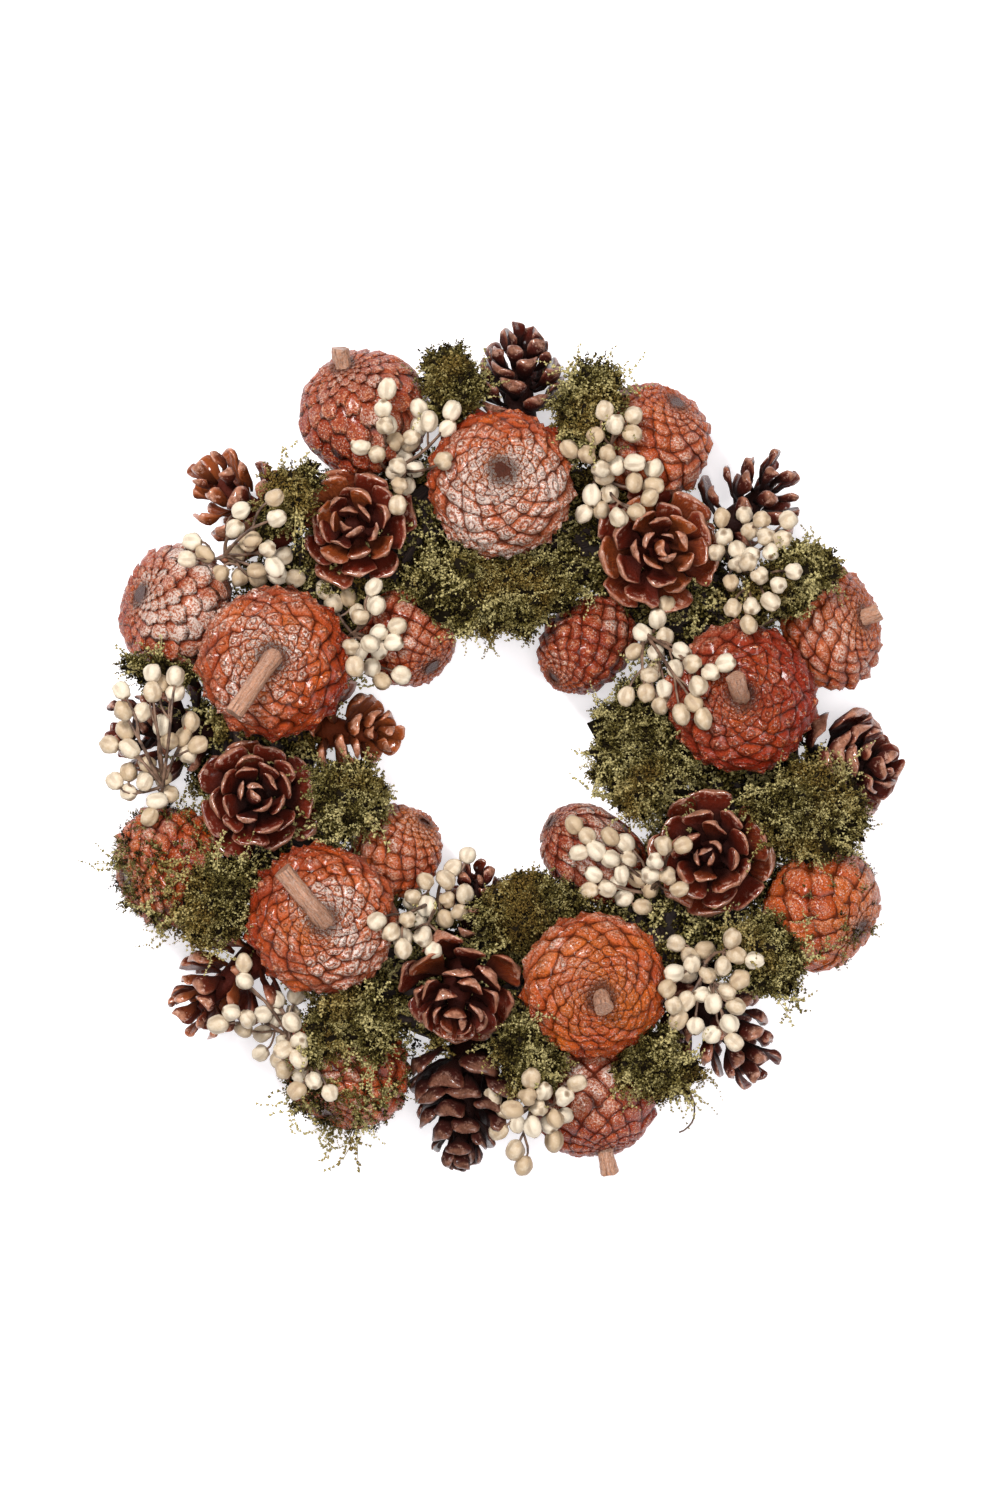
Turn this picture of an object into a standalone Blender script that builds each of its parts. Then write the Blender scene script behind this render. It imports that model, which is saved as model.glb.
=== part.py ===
"""Autumn wreath: rust and brown pine cones, wax-white berries and moss, glued round a ring of wound vines.

Metres, +Z up. The wreath lies on the flat back of its ring, with its decorated front facing +Z and twelve
o'clock towards +Y. The origin is the middle of the footprint, on the surface that the ring rests on.
"""

import math
import random

import bmesh
import bpy
from mathutils import Matrix, Quaternion, Vector
from mathutils.bvhtree import BVHTree

MM = 0.001

# Driving dimensions of the vine ring, in metres
RING_RADIUS = 98 * MM
RING_HALF_WIDTH = 22 * MM
RING_HALF_HEIGHT = 16 * MM
RING_AXIS_HEIGHT = 12 * MM
RING_STRANDS = 5
RING_TURNS = 3
RING_STATIONS = 32
STRAND_RELIEF = 0.10

# Driving dimensions of the cones, in metres
PEDUNCLE_RADIUS = 3.4 * MM
SHORT_PEDUNCLE = 11 * MM
TALLEST_ELBOW = 5 * MM
BROKEN_END = 1.15
THINNEST_HALF_SCALE = 0.9 * MM

# Driving dimensions of the moss, whose sprays are as long as a share of the face that they grow from
SPRAY_SHARES = (0.35, 0.55, 0.80)
SPRAY_ROOM = 4 * MM

# Driving dimensions of the berry sprigs, in metres
BERRY_RADIUS = 3.8 * MM
TWIG_RADIUS = 0.8 * MM
TWIG_STEP = 1.2 * MM
STALK_RADIUS = 1.9 * MM
TALLEST_STALK = 40 * MM
HUB_DEPTH = 12 * MM
LOWEST_BERRY = 10 * MM
MOST_LIFT = 12 * MM
BERRY_SHARP_ANGLE = math.radians(60)

# How the pieces are set on the ring, in metres
SEAT_GAP = 0.3 * MM
FLOOR_CLEARANCE = 1.5 * MM
FRONT_START = 60 * MM
OUTER_APPROACH = 45 * MM
INNER_APPROACH = 16 * MM
SKY = 0.3

UP = Vector((0, 0, 1))
GOLDEN_ANGLE = math.radians(137.508)


def clock_point(clock, reach, height=0.0):
    """The point at a clock angle (degrees from twelve, clockwise) and a reach from the centre, both in mm."""
    turn = math.radians(clock)
    return Vector((reach * math.sin(turn), reach * math.cos(turn), height)) * MM


def clock_direction(clock):
    return clock_point(clock, 1).normalized()


def clear_scene():
    for obj in list(bpy.data.objects):
        bpy.data.objects.remove(obj)


def material(name, colour, roughness):
    made = bpy.data.materials.new(name)
    made.use_nodes = True
    shader = made.node_tree.nodes["Principled BSDF"]
    shader.inputs["Base Color"].default_value = (*colour, 1)
    shader.inputs["Roughness"].default_value = roughness
    shader.inputs["Metallic"].default_value = 0
    return made


def object_from(name, bm, finish, sharp_angle=math.radians(30)):
    """A named object of the mesh, all in triangles, so that what is tested for contact is what is built."""
    bmesh.ops.triangulate(bm, faces=bm.faces[:])
    mesh = bpy.data.meshes.new(name)
    bm.to_mesh(mesh)
    bm.free()
    mesh.materials.append(finish)
    mesh.shade_smooth()
    mesh.set_sharp_from_angle(angle=sharp_angle)
    obj = bpy.data.objects.new(name, mesh)
    bpy.context.scene.collection.objects.link(obj)
    return obj


class Neighbours:
    """The pieces that are already in place, against which the next one is seated."""

    def __init__(self):
        self.trees = []

    @staticmethod
    def shape(obj):
        bpy.context.view_layer.update()
        points = [obj.matrix_world @ v.co for v in obj.data.vertices]
        return points, [tuple(p.vertices) for p in obj.data.polygons]

    def add(self, obj):
        self.trees.append(BVHTree.FromPolygons(*self.shape(obj)))
        return obj

    def touch(self, points, faces):
        tree = BVHTree.FromPolygons(points, faces)
        return any(tree.overlap(other) for other in self.trees)

    def crossed_faces(self, points, faces):
        tree = BVHTree.FromPolygons(points, faces)
        return {pair[0] for other in self.trees for pair in tree.overlap(other)}

    def free_way(self, origin, direction, reach):
        """How far one can go from origin before the first surface, up to reach."""
        hits = (tree.ray_cast(origin, direction, reach)[3] for tree in self.trees)
        return min([hit for hit in hits if hit is not None], default=reach)

    def top(self, x, y, around=0.0):
        """The highest surface at (x, y), or within a circle round it. None over empty floor."""
        spots = [(0.0, 0.0)]
        for turn in range(8) if around else ():
            angle = turn * math.pi / 4
            spots += [(around * share * math.cos(angle), around * share * math.sin(angle)) for share in (0.5, 1)]
        ways = [self.free_way(Vector((x + dx, y + dy, SKY)), -UP, SKY) for dx, dy in spots]
        return SKY - min(ways) if min(ways) < SKY else None

    def seat(self, obj, direction, approach):
        """Slides obj along direction, from approach behind its place, until it is a seat gap short of touching."""
        furthest, step = 90 * MM, 1 * MM
        points, faces = self.shape(obj)
        travel = -approach
        while step > 0.1 * MM:
            while travel < furthest:
                moved = [p + direction * (travel + step) for p in points]
                if self.touch(moved, faces):
                    break
                travel += step
            step /= 2
        obj.location += direction * (travel - SEAT_GAP)
        return self.add(obj)


# The ring: strands of vine wound round each other, pressed flat where the ring rests


def vine_ring(finish):
    bm = bmesh.new()
    points_round = 2 * RING_STRANDS
    loops = []
    for station in range(RING_STATIONS):
        share = station / RING_STATIONS
        out = Vector((math.cos(math.tau * share), math.sin(math.tau * share), 0))
        loop = []
        for i in range(points_round):
            angle = math.tau * (i / points_round + RING_TURNS * share)
            swell = 1 + STRAND_RELIEF * (-1) ** i
            radius = RING_RADIUS + RING_HALF_WIDTH * swell * math.cos(angle)
            height = RING_AXIS_HEIGHT + RING_HALF_HEIGHT * swell * math.sin(angle)
            loop.append(bm.verts.new(out * radius + UP * max(height, 0)))
        loops.append(loop)
    for station in range(RING_STATIONS):
        here, there = loops[station], loops[(station + 1) % RING_STATIONS]
        for i in range(points_round):
            j = (i + 1) % points_round
            bm.faces.new((here[i], there[i], there[j], here[j]))
    bmesh.ops.recalc_face_normals(bm, faces=bm.faces[:])
    return object_from("vine_ring", bm, finish)


# Both kinds of cone stand on a lattice of diamonds: each row is turned half a diamond against the next


def lattice_rows(bm, columns, rings):
    """Rows of vertices from (radius, height) rings; odd rows are turned by half a column."""
    rows = []
    for k, (radius, height) in enumerate(rings):
        row = []
        for j in range(columns):
            angle = math.tau * (j + 0.5 * (k % 2)) / columns
            row.append(bm.verts.new((radius * math.cos(angle), radius * math.sin(angle), height)))
        rows.append(row)
    return rows


def diamond(rows, k, j):
    """The corners of diamond j of row k, as (lower, right, upper, left) seen from outside."""
    columns = len(rows[k])
    middle = (j + k % 2) % columns
    return rows[k - 1][middle], rows[k][(j + 1) % columns], rows[k + 1][middle], rows[k][j]


def close_lattice(bm, rows):
    """The half diamonds along both borders and the flat face of the glued end. Returns the far end's face."""
    columns, last = len(rows[0]), len(rows) - 1
    for j in range(columns):
        after = (j + 1) % columns
        bm.faces.new((rows[0][j], rows[0][after], rows[1][j]))
        middle = (j + last % 2) % columns
        bm.faces.new((rows[last][after], rows[last][j], rows[last - 1][middle]))
    bm.faces.new(rows[0][::-1])
    return bm.faces.new(rows[last])


def add_peduncle(bm, face, height, length, toward):
    """The stalk stub in the middle of a cone's base: up out of the base, then over to one side.

    A long stub lies down over the cone, and a short one stands up.
    """
    rise = min(TALLEST_ELBOW, 0.5 * length)
    steepness = (SHORT_PEDUNCLE / length) ** 1.5
    way = (Vector((toward.x, toward.y, 0)).normalized() + UP * steepness).normalized()
    elbow = Vector((0, 0, height + rise))
    spokes = [Vector((v.co.x, v.co.y, 0)).normalized() for v in face.verts]
    sections = [(elbow, (UP + way).normalized(), PEDUNCLE_RADIUS),
                (elbow + way * (length - rise), way, BROKEN_END * PEDUNCLE_RADIUS)]
    for centre, direction, radius in sections:
        face = bmesh.ops.extrude_discrete_faces(bm, faces=[face])["faces"][0]
        turn = UP.rotation_difference(direction)
        for vert, spoke in zip(face.verts, spokes):
            vert.co = centre + turn @ spoke * radius


def cone_turn(lean, toward, spin):
    """A spin about the cone's own axis, then a lean of the axis from upright towards a clock direction."""
    tilt = math.radians(lean)
    axis = UP * math.cos(tilt) + clock_direction(toward) * math.sin(tilt)
    return axis.to_track_quat("Z", "Y") @ Quaternion(UP, math.radians(spin))


def seat_cone(obj, neighbours, turn, clock, reach, length, height):
    """Turns a cone, puts its middle at its place on the wreath, clear of the floor, and seats it.

    A cone on the front (no height) comes down on the ring. One on a flank comes in level, from outside the
    ring or from inside it.
    """
    on_front = height is None
    middle = clock_point(clock, reach) + UP * (FRONT_START if on_front else height * MM)
    place = middle - turn @ UP * length / 2
    lowest = min((place + turn @ v.co).z for v in obj.data.vertices)
    place.z += max(0, FLOOR_CLEARANCE - lowest)
    obj.matrix_world = Matrix.LocRotScale(place, turn, None)
    if on_front:
        return neighbours.seat(obj, -UP, 0)
    if reach * MM > RING_RADIUS:
        return neighbours.seat(obj, -clock_direction(clock), OUTER_APPROACH)
    return neighbours.seat(obj, clock_direction(clock), INNER_APPROACH)


# Rust cones: closed, squat, sawn off at the tip and glued by the sawn face, so that their base shows

SAWN_LATITUDE = math.radians(-50)
LAST_LATITUDE = math.radians(73)
DOME_SHARE = 0.52
SIDE_FULLNESS = 0.9
SCALE_RISE = 0.30
BOSS_ROOM = (0.93, 0.96)


def rust_profile(width, length, row_count):
    """(radius, height) rings from the sawn face to the base's middle, with diamonds of one shape all the way."""
    dome = DOME_SHARE * length
    under = (length - dome) / math.sin(-SAWN_LATITUDE)
    low, high = (math.asinh(math.tan(a)) for a in (SAWN_LATITUDE, LAST_LATITUDE))
    rings = []
    for k in range(row_count + 1):
        latitude = math.atan(math.sinh(low + (high - low) * k / row_count))
        tall = dome if latitude > 0 else under
        rings.append((width / 2 * math.cos(latitude) ** SIDE_FULLNESS, length - dome + tall * math.sin(latitude)))
    return rings


def rust_cone(name, finish, neighbours, clock, reach, width, length, lean, toward, spin=0, height=None, stalk=0,
              stalk_toward=0, columns=9, row_count=9):
    """Each diamond of the closed cone is one scale, whose boss stands out near its free lower corner."""
    bm = bmesh.new()
    width, length = width * MM, length * MM
    rows = lattice_rows(bm, columns, rust_profile(width * BOSS_ROOM[0], length * BOSS_ROOM[1], row_count))
    for k in range(1, row_count):
        for j in range(columns):
            lower, right, upper, left = corners = diamond(rows, k, j)
            across = (right.co - left.co).length
            outward = (right.co - lower.co).cross(upper.co - lower.co).normalized()
            flat_boss = 0.24 * (left.co + right.co) + 0.40 * lower.co + 0.12 * upper.co
            boss = bm.verts.new(flat_boss + outward * SCALE_RISE * across)
            for a, b in zip(corners, corners[1:] + corners[:1]):
                bm.faces.new((a, b, boss))
    crown = close_lattice(bm, rows)
    turn = cone_turn(lean, toward, spin)
    if stalk:
        stalk_way = turn.inverted() @ clock_direction(stalk_toward)
        add_peduncle(bm, crown, rows[-1][0].co.z, stalk * MM, stalk_way)
    obj = object_from(name, bm, finish)
    return seat_cone(obj, neighbours, turn, clock, reach, length, height)


# Brown cones: open, glued by the base, with woody scales spread like the petals of a rose


CORE_SHARE = 0.70
CORE_RADIUS_SHARE = 0.17
CORE_TAPER = 0.72
WIDEST_OPENING, NARROWEST_OPENING = 94, 30
OPENING_SPREAD = 4
LONGEST_SCALE, SCALE_SHORTENING = 0.38, 0.12
CUPPING = 0.6

# A scale's sections: (how far out, breadth, thickness, curl inwards), each as a share
BROAD_SCALE = ((0.6, 0.94, 0.056, 0.0), (1.0, 0.60, 0.068, 0.10))
SMALL_SCALE = ((1.0, 0.80, 0.068, 0.08),)


def brown_cone(name, finish, neighbours, clock, reach, width, length, lean, toward, spin=0, height=None, columns=6,
               tiers=4, profile=BROAD_SCALE):
    """Each diamond of the core grows a scale. The scales of the inner tiers have only the end section."""
    bm = bmesh.new()
    width, length = width * MM, length * MM
    last = tiers + 1
    core_length = CORE_SHARE * length
    rings = []
    for k in range(last + 1):
        share = k / last
        rings.append((CORE_RADIUS_SHARE * width * (1 - CORE_TAPER * share**1.5), core_length * share**0.9))
    rows = lattice_rows(bm, columns, rings)
    jitter = random.Random(name)
    for k in range(1, last):
        share = (k - 1) / (tiers - 1)
        opening = WIDEST_OPENING + (NARROWEST_OPENING - WIDEST_OPENING) * share
        reach_out = width * (LONGEST_SCALE - SCALE_SHORTENING * share)
        for j in range(columns):
            corners = diamond(rows, k, j)
            root = sum((c.co for c in corners), Vector()) / 4
            radial = Vector((root.x, root.y, 0)).normalized()
            sideways = UP.cross(radial)
            angle = math.radians(opening + jitter.uniform(-OPENING_SPREAD, OPENING_SPREAD))
            along = UP * math.cos(angle) + radial * math.sin(angle)
            inner = UP * math.sin(angle) - radial * math.cos(angle)
            length_here = reach_out * jitter.uniform(0.94, 1.04)
            section = list(corners)
            for distance, breadth, thick, lift in profile if k <= last / 2 else profile[-1:]:
                centre = root + along * length_here * distance + inner * length_here * lift
                around = math.hypot(centre.x, centre.y)
                half = breadth * around * math.sin(math.pi / columns) * sideways
                deep = max(thick * width / 2, THINNEST_HALF_SCALE) * inner
                cup = CUPPING * deep
                grown = [bm.verts.new(p) for p in
                         (centre - deep, centre + half + cup, centre + deep, centre - half + cup)]
                for a in range(4):
                    b = (a + 1) % 4
                    bm.faces.new((section[a], section[b], grown[b], grown[a]))
                section = grown
            bm.faces.new(section)
    close_lattice(bm, rows)
    obj = object_from(name, bm, finish)
    return seat_cone(obj, neighbours, cone_turn(lean, toward, spin), clock, reach, length, height)


# Moss: tufts pressed into the gaps, grown out from the middle of each gap until they meet the cones


def moss_tuft(name, finish, neighbours, clock, reach, height, tangent, radial, thick):
    """tangent, radial and thick are the tuft's half sizes in mm, round the ring, across it and upwards."""
    bm = bmesh.new()
    bmesh.ops.create_icosphere(bm, subdivisions=2, radius=1)
    bmesh.ops.triangulate(bm, faces=bm.faces[:])
    middle = clock_point(clock, reach, height)
    ahead, out = clock_direction(clock + 90), clock_direction(clock)
    ruffle = random.Random(name)
    for vert in bm.verts:
        way = ahead * vert.co.x * tangent + out * vert.co.y * radial + UP * vert.co.z * thick
        wanted = way.length * MM * ruffle.uniform(0.80, 1.0) - 2 * MM
        way.normalize()
        free = neighbours.free_way(middle, way, 0.2)
        vert.co = middle + way * min(wanted, free - 1.2 * SEAT_GAP)
        vert.co.z = max(vert.co.z, FLOOR_CLEARANCE)
    draw_in(bm, middle, neighbours)
    for face in list(bm.faces):
        spot = face.calc_center_median()
        way = (spot - middle).normalized()
        free = neighbours.free_way(spot, way, 0.02)
        if face.normal.dot(way) < 0.4 or spot.z < middle.z - 0.5 * thick * MM or free < SPRAY_ROOM:
            continue
        spray = min(ruffle.choice(SPRAY_SHARES) * math.sqrt(2 * face.calc_area()), free - SPRAY_ROOM / 2)
        peak = bmesh.ops.poke(bm, faces=[face])["verts"][0]
        peak.co = spot + way * spray
    draw_in(bm, middle, neighbours)
    return neighbours.add(object_from(name, bm, finish))


def draw_in(bm, middle, neighbours):
    """Draws in whatever still crosses a neighbour, a little at a time, until the tuft is clear."""
    for _ in range(40):
        bm.verts.index_update()
        bm.faces.index_update()
        bm.faces.ensure_lookup_table()
        bm.normal_update()
        points = [v.co.copy() for v in bm.verts]
        faces = [tuple(v.index for v in f.verts) for f in bm.faces]
        crossed = neighbours.crossed_faces(points, faces)
        if not crossed:
            return
        for vert in {v for i in crossed for v in bm.faces[i].verts}:
            vert.co = middle + (vert.co - middle) * 0.93


# Berry sprigs: wax-white berries on thin twigs that fan out over the cones from one stalk


def stalk_prism(foot, top):
    """An upright four-sided stalk."""
    bm = bmesh.new()
    bmesh.ops.create_cone(bm, cap_ends=True, segments=4, radius1=STALK_RADIUS, radius2=STALK_RADIUS,
                          depth=(top - foot).length)
    bmesh.ops.translate(bm, verts=bm.verts[:], vec=(foot + top) / 2)
    return bm


def berry_on_twig(root, centre):
    """A berry of twenty faces. The face that looks at the root is drawn out into a twig down to the root."""
    bm = bmesh.new()
    bmesh.ops.create_icosphere(bm, subdivisions=1, radius=BERRY_RADIUS)
    way = (root - centre).normalized()
    face = bm.faces[:][0]
    turn = face.normal.rotation_difference(way)
    for vert in bm.verts:
        vert.co = centre + turn @ vert.co
    spokes = [(v.co - face.calc_center_median()).normalized() for v in face.verts]
    for distance, radius in ((0.9 * BERRY_RADIUS, 1.3 * TWIG_RADIUS), ((root - centre).length, TWIG_RADIUS)):
        face = bmesh.ops.extrude_discrete_faces(bm, faces=[face])["faces"][0]
        for vert, spoke in zip(face.verts, spokes):
            vert.co = centre + way * distance + spoke * radius
    return bm


def joined(name, parts, finish):
    """One solid of all the parts, by one union on a collection, with the parts then removed."""
    first, *others = [object_from(f"{name}_part", bm, finish) for bm in parts]
    group = bpy.data.collections.new(name)
    bpy.context.scene.collection.children.link(group)
    for obj in others:
        bpy.context.scene.collection.objects.unlink(obj)
        group.objects.link(obj)
    union = first.modifiers.new("union", "BOOLEAN")
    union.operation = "UNION"
    union.operand_type = "COLLECTION"
    union.collection = group
    union.solver = "MANIFOLD"
    bpy.context.view_layer.update()
    graph = bpy.context.evaluated_depsgraph_get()
    bm = bmesh.new()
    bm.from_object(first, graph)
    for obj in (first, *others):
        bpy.data.objects.remove(obj)
    bpy.data.collections.remove(group)
    return object_from(name, bm, finish, BERRY_SHARP_ANGLE)


def sprig_points(centre, along, long_half, short_half, count, ruffle):
    """Where the berries are, seen from the front: an even spread over an oval, slightly disturbed."""
    across = UP.cross(along)
    spots = []
    for i in range(count):
        ring = math.sqrt((i + 0.6) / count)
        angle = i * GOLDEN_ANGLE
        spot = centre + along * long_half * ring * math.cos(angle) + across * short_half * ring * math.sin(angle)
        spots.append(spot + Vector((ruffle.uniform(-1, 1), ruffle.uniform(-1, 1), 0)) * MM)
    return spots


def plain_shape(bm):
    bm.verts.index_update()
    return [v.co.copy() for v in bm.verts], [[v.index for v in f.verts] for f in bm.faces]


def cleared_twig(neighbours, root, centre):
    """A berry on its twig, with the berry lifted until both are clear of the neighbours. None if it can't be."""
    lift = 0
    while lift < MOST_LIFT:
        bm = berry_on_twig(root, centre + UP * lift)
        if not neighbours.touch(*plain_shape(bm)):
            return bm
        bm.free()
        lift += 0.5 * MM
    return None


def stalk_foot(neighbours, centre, long_way, short_way):
    """The lowest place in the middle of the oval on which a stalk can stand clear of everything."""
    best = None
    for i in range(-4, 5):
        for j in range(-3, 4):
            spot = centre + long_way * 0.15 * i + short_way * 0.18 * j
            ground = neighbours.top(spot.x, spot.y, 1.2 * STALK_RADIUS)
            if ground is None or (best and ground > best.z):
                continue
            spot.z = ground + SEAT_GAP
            if not neighbours.touch(*plain_shape(stalk_prism(spot, spot + UP * TALLEST_STALK))):
                best = spot
    return best


def berry_sprig(name, finish, neighbours, clock, reach, long_half, short_half, heading, count):
    """heading is the clock direction of the oval's long axis. The stalk stands in the deepest gap under it."""
    ruffle = random.Random(name)
    centre, along = clock_point(clock, reach), clock_direction(heading)
    spots = sprig_points(centre, along, long_half * MM, short_half * MM, count, ruffle)
    for spot in spots:
        ground = neighbours.top(spot.x, spot.y, BERRY_RADIUS)
        spot.z = 0 if ground is None else ground + BERRY_RADIUS + SEAT_GAP
    usual = sorted(spot.z for spot in spots)[count // 2]
    foot = stalk_foot(neighbours, centre, along * long_half * MM, UP.cross(along) * short_half * MM)
    hub = Vector((foot.x, foot.y, max(usual - HUB_DEPTH, foot.z + (count + 1) * TWIG_STEP)))
    twigs = [None]
    while None in twigs:
        hub.z += 1 * MM
        twigs = [cleared_twig(neighbours, hub - UP * (i + 1) * TWIG_STEP,
                              Vector((spot.x, spot.y, max(spot.z, usual - LOWEST_BERRY))))
                 for i, spot in enumerate(spots)]
    made = joined(name, [stalk_prism(foot, hub)] + twigs, finish)
    return neighbours.add(made)


def stand_on_middle(objects):
    """Shifts the wreath so that the middle of its footprint is over the origin."""
    bpy.context.view_layer.update()
    points = [obj.matrix_world @ v.co for obj in objects for v in obj.data.vertices]
    middle = Vector([(min(p[i] for p in points) + max(p[i] for p in points)) / 2 for i in range(2)] + [0])
    for obj in objects:
        obj.location -= middle


def build():
    clear_scene()
    vine = material("vine", (0.10, 0.055, 0.035), 0.8)
    rust = material("rust_cone", (0.42, 0.10, 0.035), 0.4)
    brown = material("brown_cone", (0.16, 0.045, 0.022), 0.35)
    moss = material("moss", (0.13, 0.15, 0.035), 0.9)
    wax = material("berry", (0.78, 0.70, 0.50), 0.55)

    near = Neighbours()
    pieces = [near.add(vine_ring(vine))]

    def rust_at(name, **place):
        pieces.append(rust_cone("rust_cone_" + name, rust, near, **place))

    def small_rust_at(name, **place):
        rust_at(name, columns=8, row_count=7, **place)

    def brown_at(name, **place):
        pieces.append(brown_cone("brown_cone_" + name, brown, near, **place))

    def small_brown_at(name, **place):
        brown_at(name, columns=5, profile=SMALL_SCALE, **place)

    def moss_at(name, **place):
        pieces.append(moss_tuft("moss_" + name, moss, near, **place))

    def berries_at(name, **place):
        pieces.append(berry_sprig("berry_sprig_" + name, wax, near, **place))

    # The front of the ring, where rust and brown cones take turns
    brown_at("front_1", clock=38, reach=103, width=50, length=40, lean=6, toward=90, spin=10)
    brown_at("front_2", clock=116, reach=92, width=50, length=42, lean=8, toward=250, spin=35)
    brown_at("front_3", clock=190, reach=101, width=46, length=44, lean=34, toward=188, spin=20)
    brown_at("front_4", clock=260, reach=99, width=47, length=42, lean=4, toward=20, spin=50)
    brown_at("front_5", clock=327, reach=108, width=46, length=38, lean=8, toward=300, spin=0)
    rust_at("front_1", clock=0, reach=108, width=55, length=44, lean=10, toward=10, spin=5)
    rust_at("front_2", clock=77, reach=98, width=56, length=42, lean=4, toward=300, spin=15, stalk=14,
            stalk_toward=340)
    rust_at("front_3", clock=158, reach=100, width=55, length=42, lean=12, toward=150, spin=25, stalk=9,
            stalk_toward=180)
    rust_at("front_4", clock=227, reach=97, width=56, length=42, lean=4, toward=60, spin=0, stalk=31,
            stalk_toward=320)
    rust_at("front_5", clock=292, reach=97, width=57, length=42, lean=4, toward=20, spin=30, stalk=33,
            stalk_toward=213)

    # The outer flank, from twelve o'clock round
    small_brown_at("outer_1", clock=3, reach=148, width=41, length=51, lean=70, toward=3, height=24)
    small_rust_at("outer_1", clock=26, reach=146, width=46, length=41, lean=58, toward=34, height=26)
    small_brown_at("outer_2", clock=45, reach=150, width=40, length=50, lean=68, toward=42, height=26)
    small_rust_at("outer_2", clock=69, reach=140, width=50, length=29, lean=56, toward=76, height=28, stalk=8,
                  stalk_toward=60)
    brown_at("outer_3", clock=92, reach=142, width=50, length=42, lean=55, toward=88, height=28)
    small_rust_at("outer_3", clock=116, reach=145, width=50, length=38, lean=58, toward=120, height=28)
    small_brown_at("outer_4", clock=141, reach=149, width=44, length=72, lean=74, toward=139, height=26, tiers=5)
    small_rust_at("outer_4", clock=165, reach=148, width=48, length=44, lean=70, toward=168, height=26, stalk=9,
                  stalk_toward=170)
    brown_at("outer_5", clock=186, reach=145, width=46, length=69, lean=72, toward=186, height=27, tiers=5)
    small_rust_at("outer_5", clock=206, reach=142, width=50, length=39, lean=66, toward=206, height=26)
    small_brown_at("outer_6", clock=230, reach=149, width=42, length=60, lean=72, toward=230, height=25, tiers=5)
    small_rust_at("outer_6", clock=251, reach=143, width=48, length=38, lean=64, toward=252, height=26)
    small_brown_at("outer_7", clock=274, reach=143, width=42, length=57, lean=70, toward=276, height=25)
    small_rust_at("outer_7", clock=294, reach=143, width=50, length=34, lean=54, toward=289, height=29)
    small_brown_at("outer_8", clock=314, reach=150, width=44, length=64, lean=70, toward=312, height=26, tiers=5)
    small_rust_at("outer_8", clock=338, reach=149, width=50, length=44, lean=58, toward=336, height=29, stalk=8,
                  stalk_toward=20)

    # The inner flank
    small_rust_at("inner_1", clock=38, reach=50, width=34, length=42, lean=62, toward=226, height=22)
    small_rust_at("inner_2", clock=138, reach=48, width=34, length=46, lean=66, toward=306, height=21)
    small_rust_at("inner_3", clock=227, reach=58, width=35, length=34, lean=66, toward=44, height=22)
    small_brown_at("inner_1", clock=190, reach=54, width=29, length=46, lean=66, toward=10, height=20)
    small_brown_at("inner_2", clock=278, reach=54, width=38, length=41, lean=62, toward=94, height=24)
    small_rust_at("inner_4", clock=321, reach=52, width=38, length=36, lean=60, toward=140, height=25)

    # Moss in the gaps
    moss_at("1", clock=353, reach=146, height=38, tangent=17, radial=22, thick=18)
    moss_at("2", clock=15, reach=141, height=42, tangent=18, radial=24, thick=18)
    moss_at("3", clock=60, reach=134, height=48, tangent=18, radial=26, thick=15)
    moss_at("4", clock=99, reach=127, height=48, tangent=24, radial=30, thick=16)
    moss_at("5", clock=128, reach=132, height=44, tangent=24, radial=22, thick=15)
    moss_at("6", clock=154, reach=136, height=44, tangent=28, radial=24, thick=16)
    moss_at("7", clock=174, reach=116, height=48, tangent=22, radial=24, thick=17)
    moss_at("8", clock=208, reach=128, height=48, tangent=26, radial=26, thick=15)
    moss_at("9", clock=243, reach=126, height=46, tangent=25, radial=26, thick=15)
    moss_at("10", clock=254, reach=64, height=38, tangent=20, radial=20, thick=17)
    moss_at("11", clock=318, reach=132, height=45, tangent=28, radial=24, thick=17)
    moss_at("12", clock=354, reach=65, height=38, tangent=46, radial=22, thick=18)
    moss_at("13", clock=90, reach=58, height=34, tangent=36, radial=24, thick=19)
    moss_at("14", clock=171, reach=66, height=36, tangent=28, radial=20, thick=16)
    moss_at("15", clock=285, reach=140, height=38, tangent=16, radial=26, thick=17)

    # Berry sprigs, tucked in last
    berries_at("1", clock=343, reach=127, long_half=22, short_half=16, heading=300, count=8)
    berries_at("2", clock=22, reach=121, long_half=25, short_half=14, heading=340, count=8)
    berries_at("3", clock=53, reach=127, long_half=26, short_half=13, heading=172, count=8)
    berries_at("4", clock=62, reach=74, long_half=26, short_half=14, heading=330, count=8)
    berries_at("5", clock=132, reach=66, long_half=24, short_half=14, heading=290, count=8)
    berries_at("6", clock=139, reach=123, long_half=22, short_half=17, heading=20, count=8)
    berries_at("7", clock=175, reach=146, long_half=19, short_half=11, heading=30, count=7)
    berries_at("8", clock=205, reach=68, long_half=22, short_half=11, heading=220, count=7)
    berries_at("9", clock=220, reach=141, long_half=28, short_half=14, heading=152, count=9)
    berries_at("10", clock=271, reach=140, long_half=32, short_half=15, heading=190, count=10)
    berries_at("11", clock=309, reach=130, long_half=20, short_half=15, heading=240, count=7)
    berries_at("12", clock=311, reach=72, long_half=24, short_half=12, heading=140, count=7)

    stand_on_middle(pieces)


build()
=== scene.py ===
"""The looks of an autumn wreath of cones, moss and wax-white berries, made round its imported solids.

Metres, +Z up. The wreath lies on its back, with its front facing +Z and twelve o'clock towards +Y.
"""

import math
import random

import bmesh
import bpy
from mathutils import Matrix, Vector
from mathutils.bvhtree import BVHTree


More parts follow.
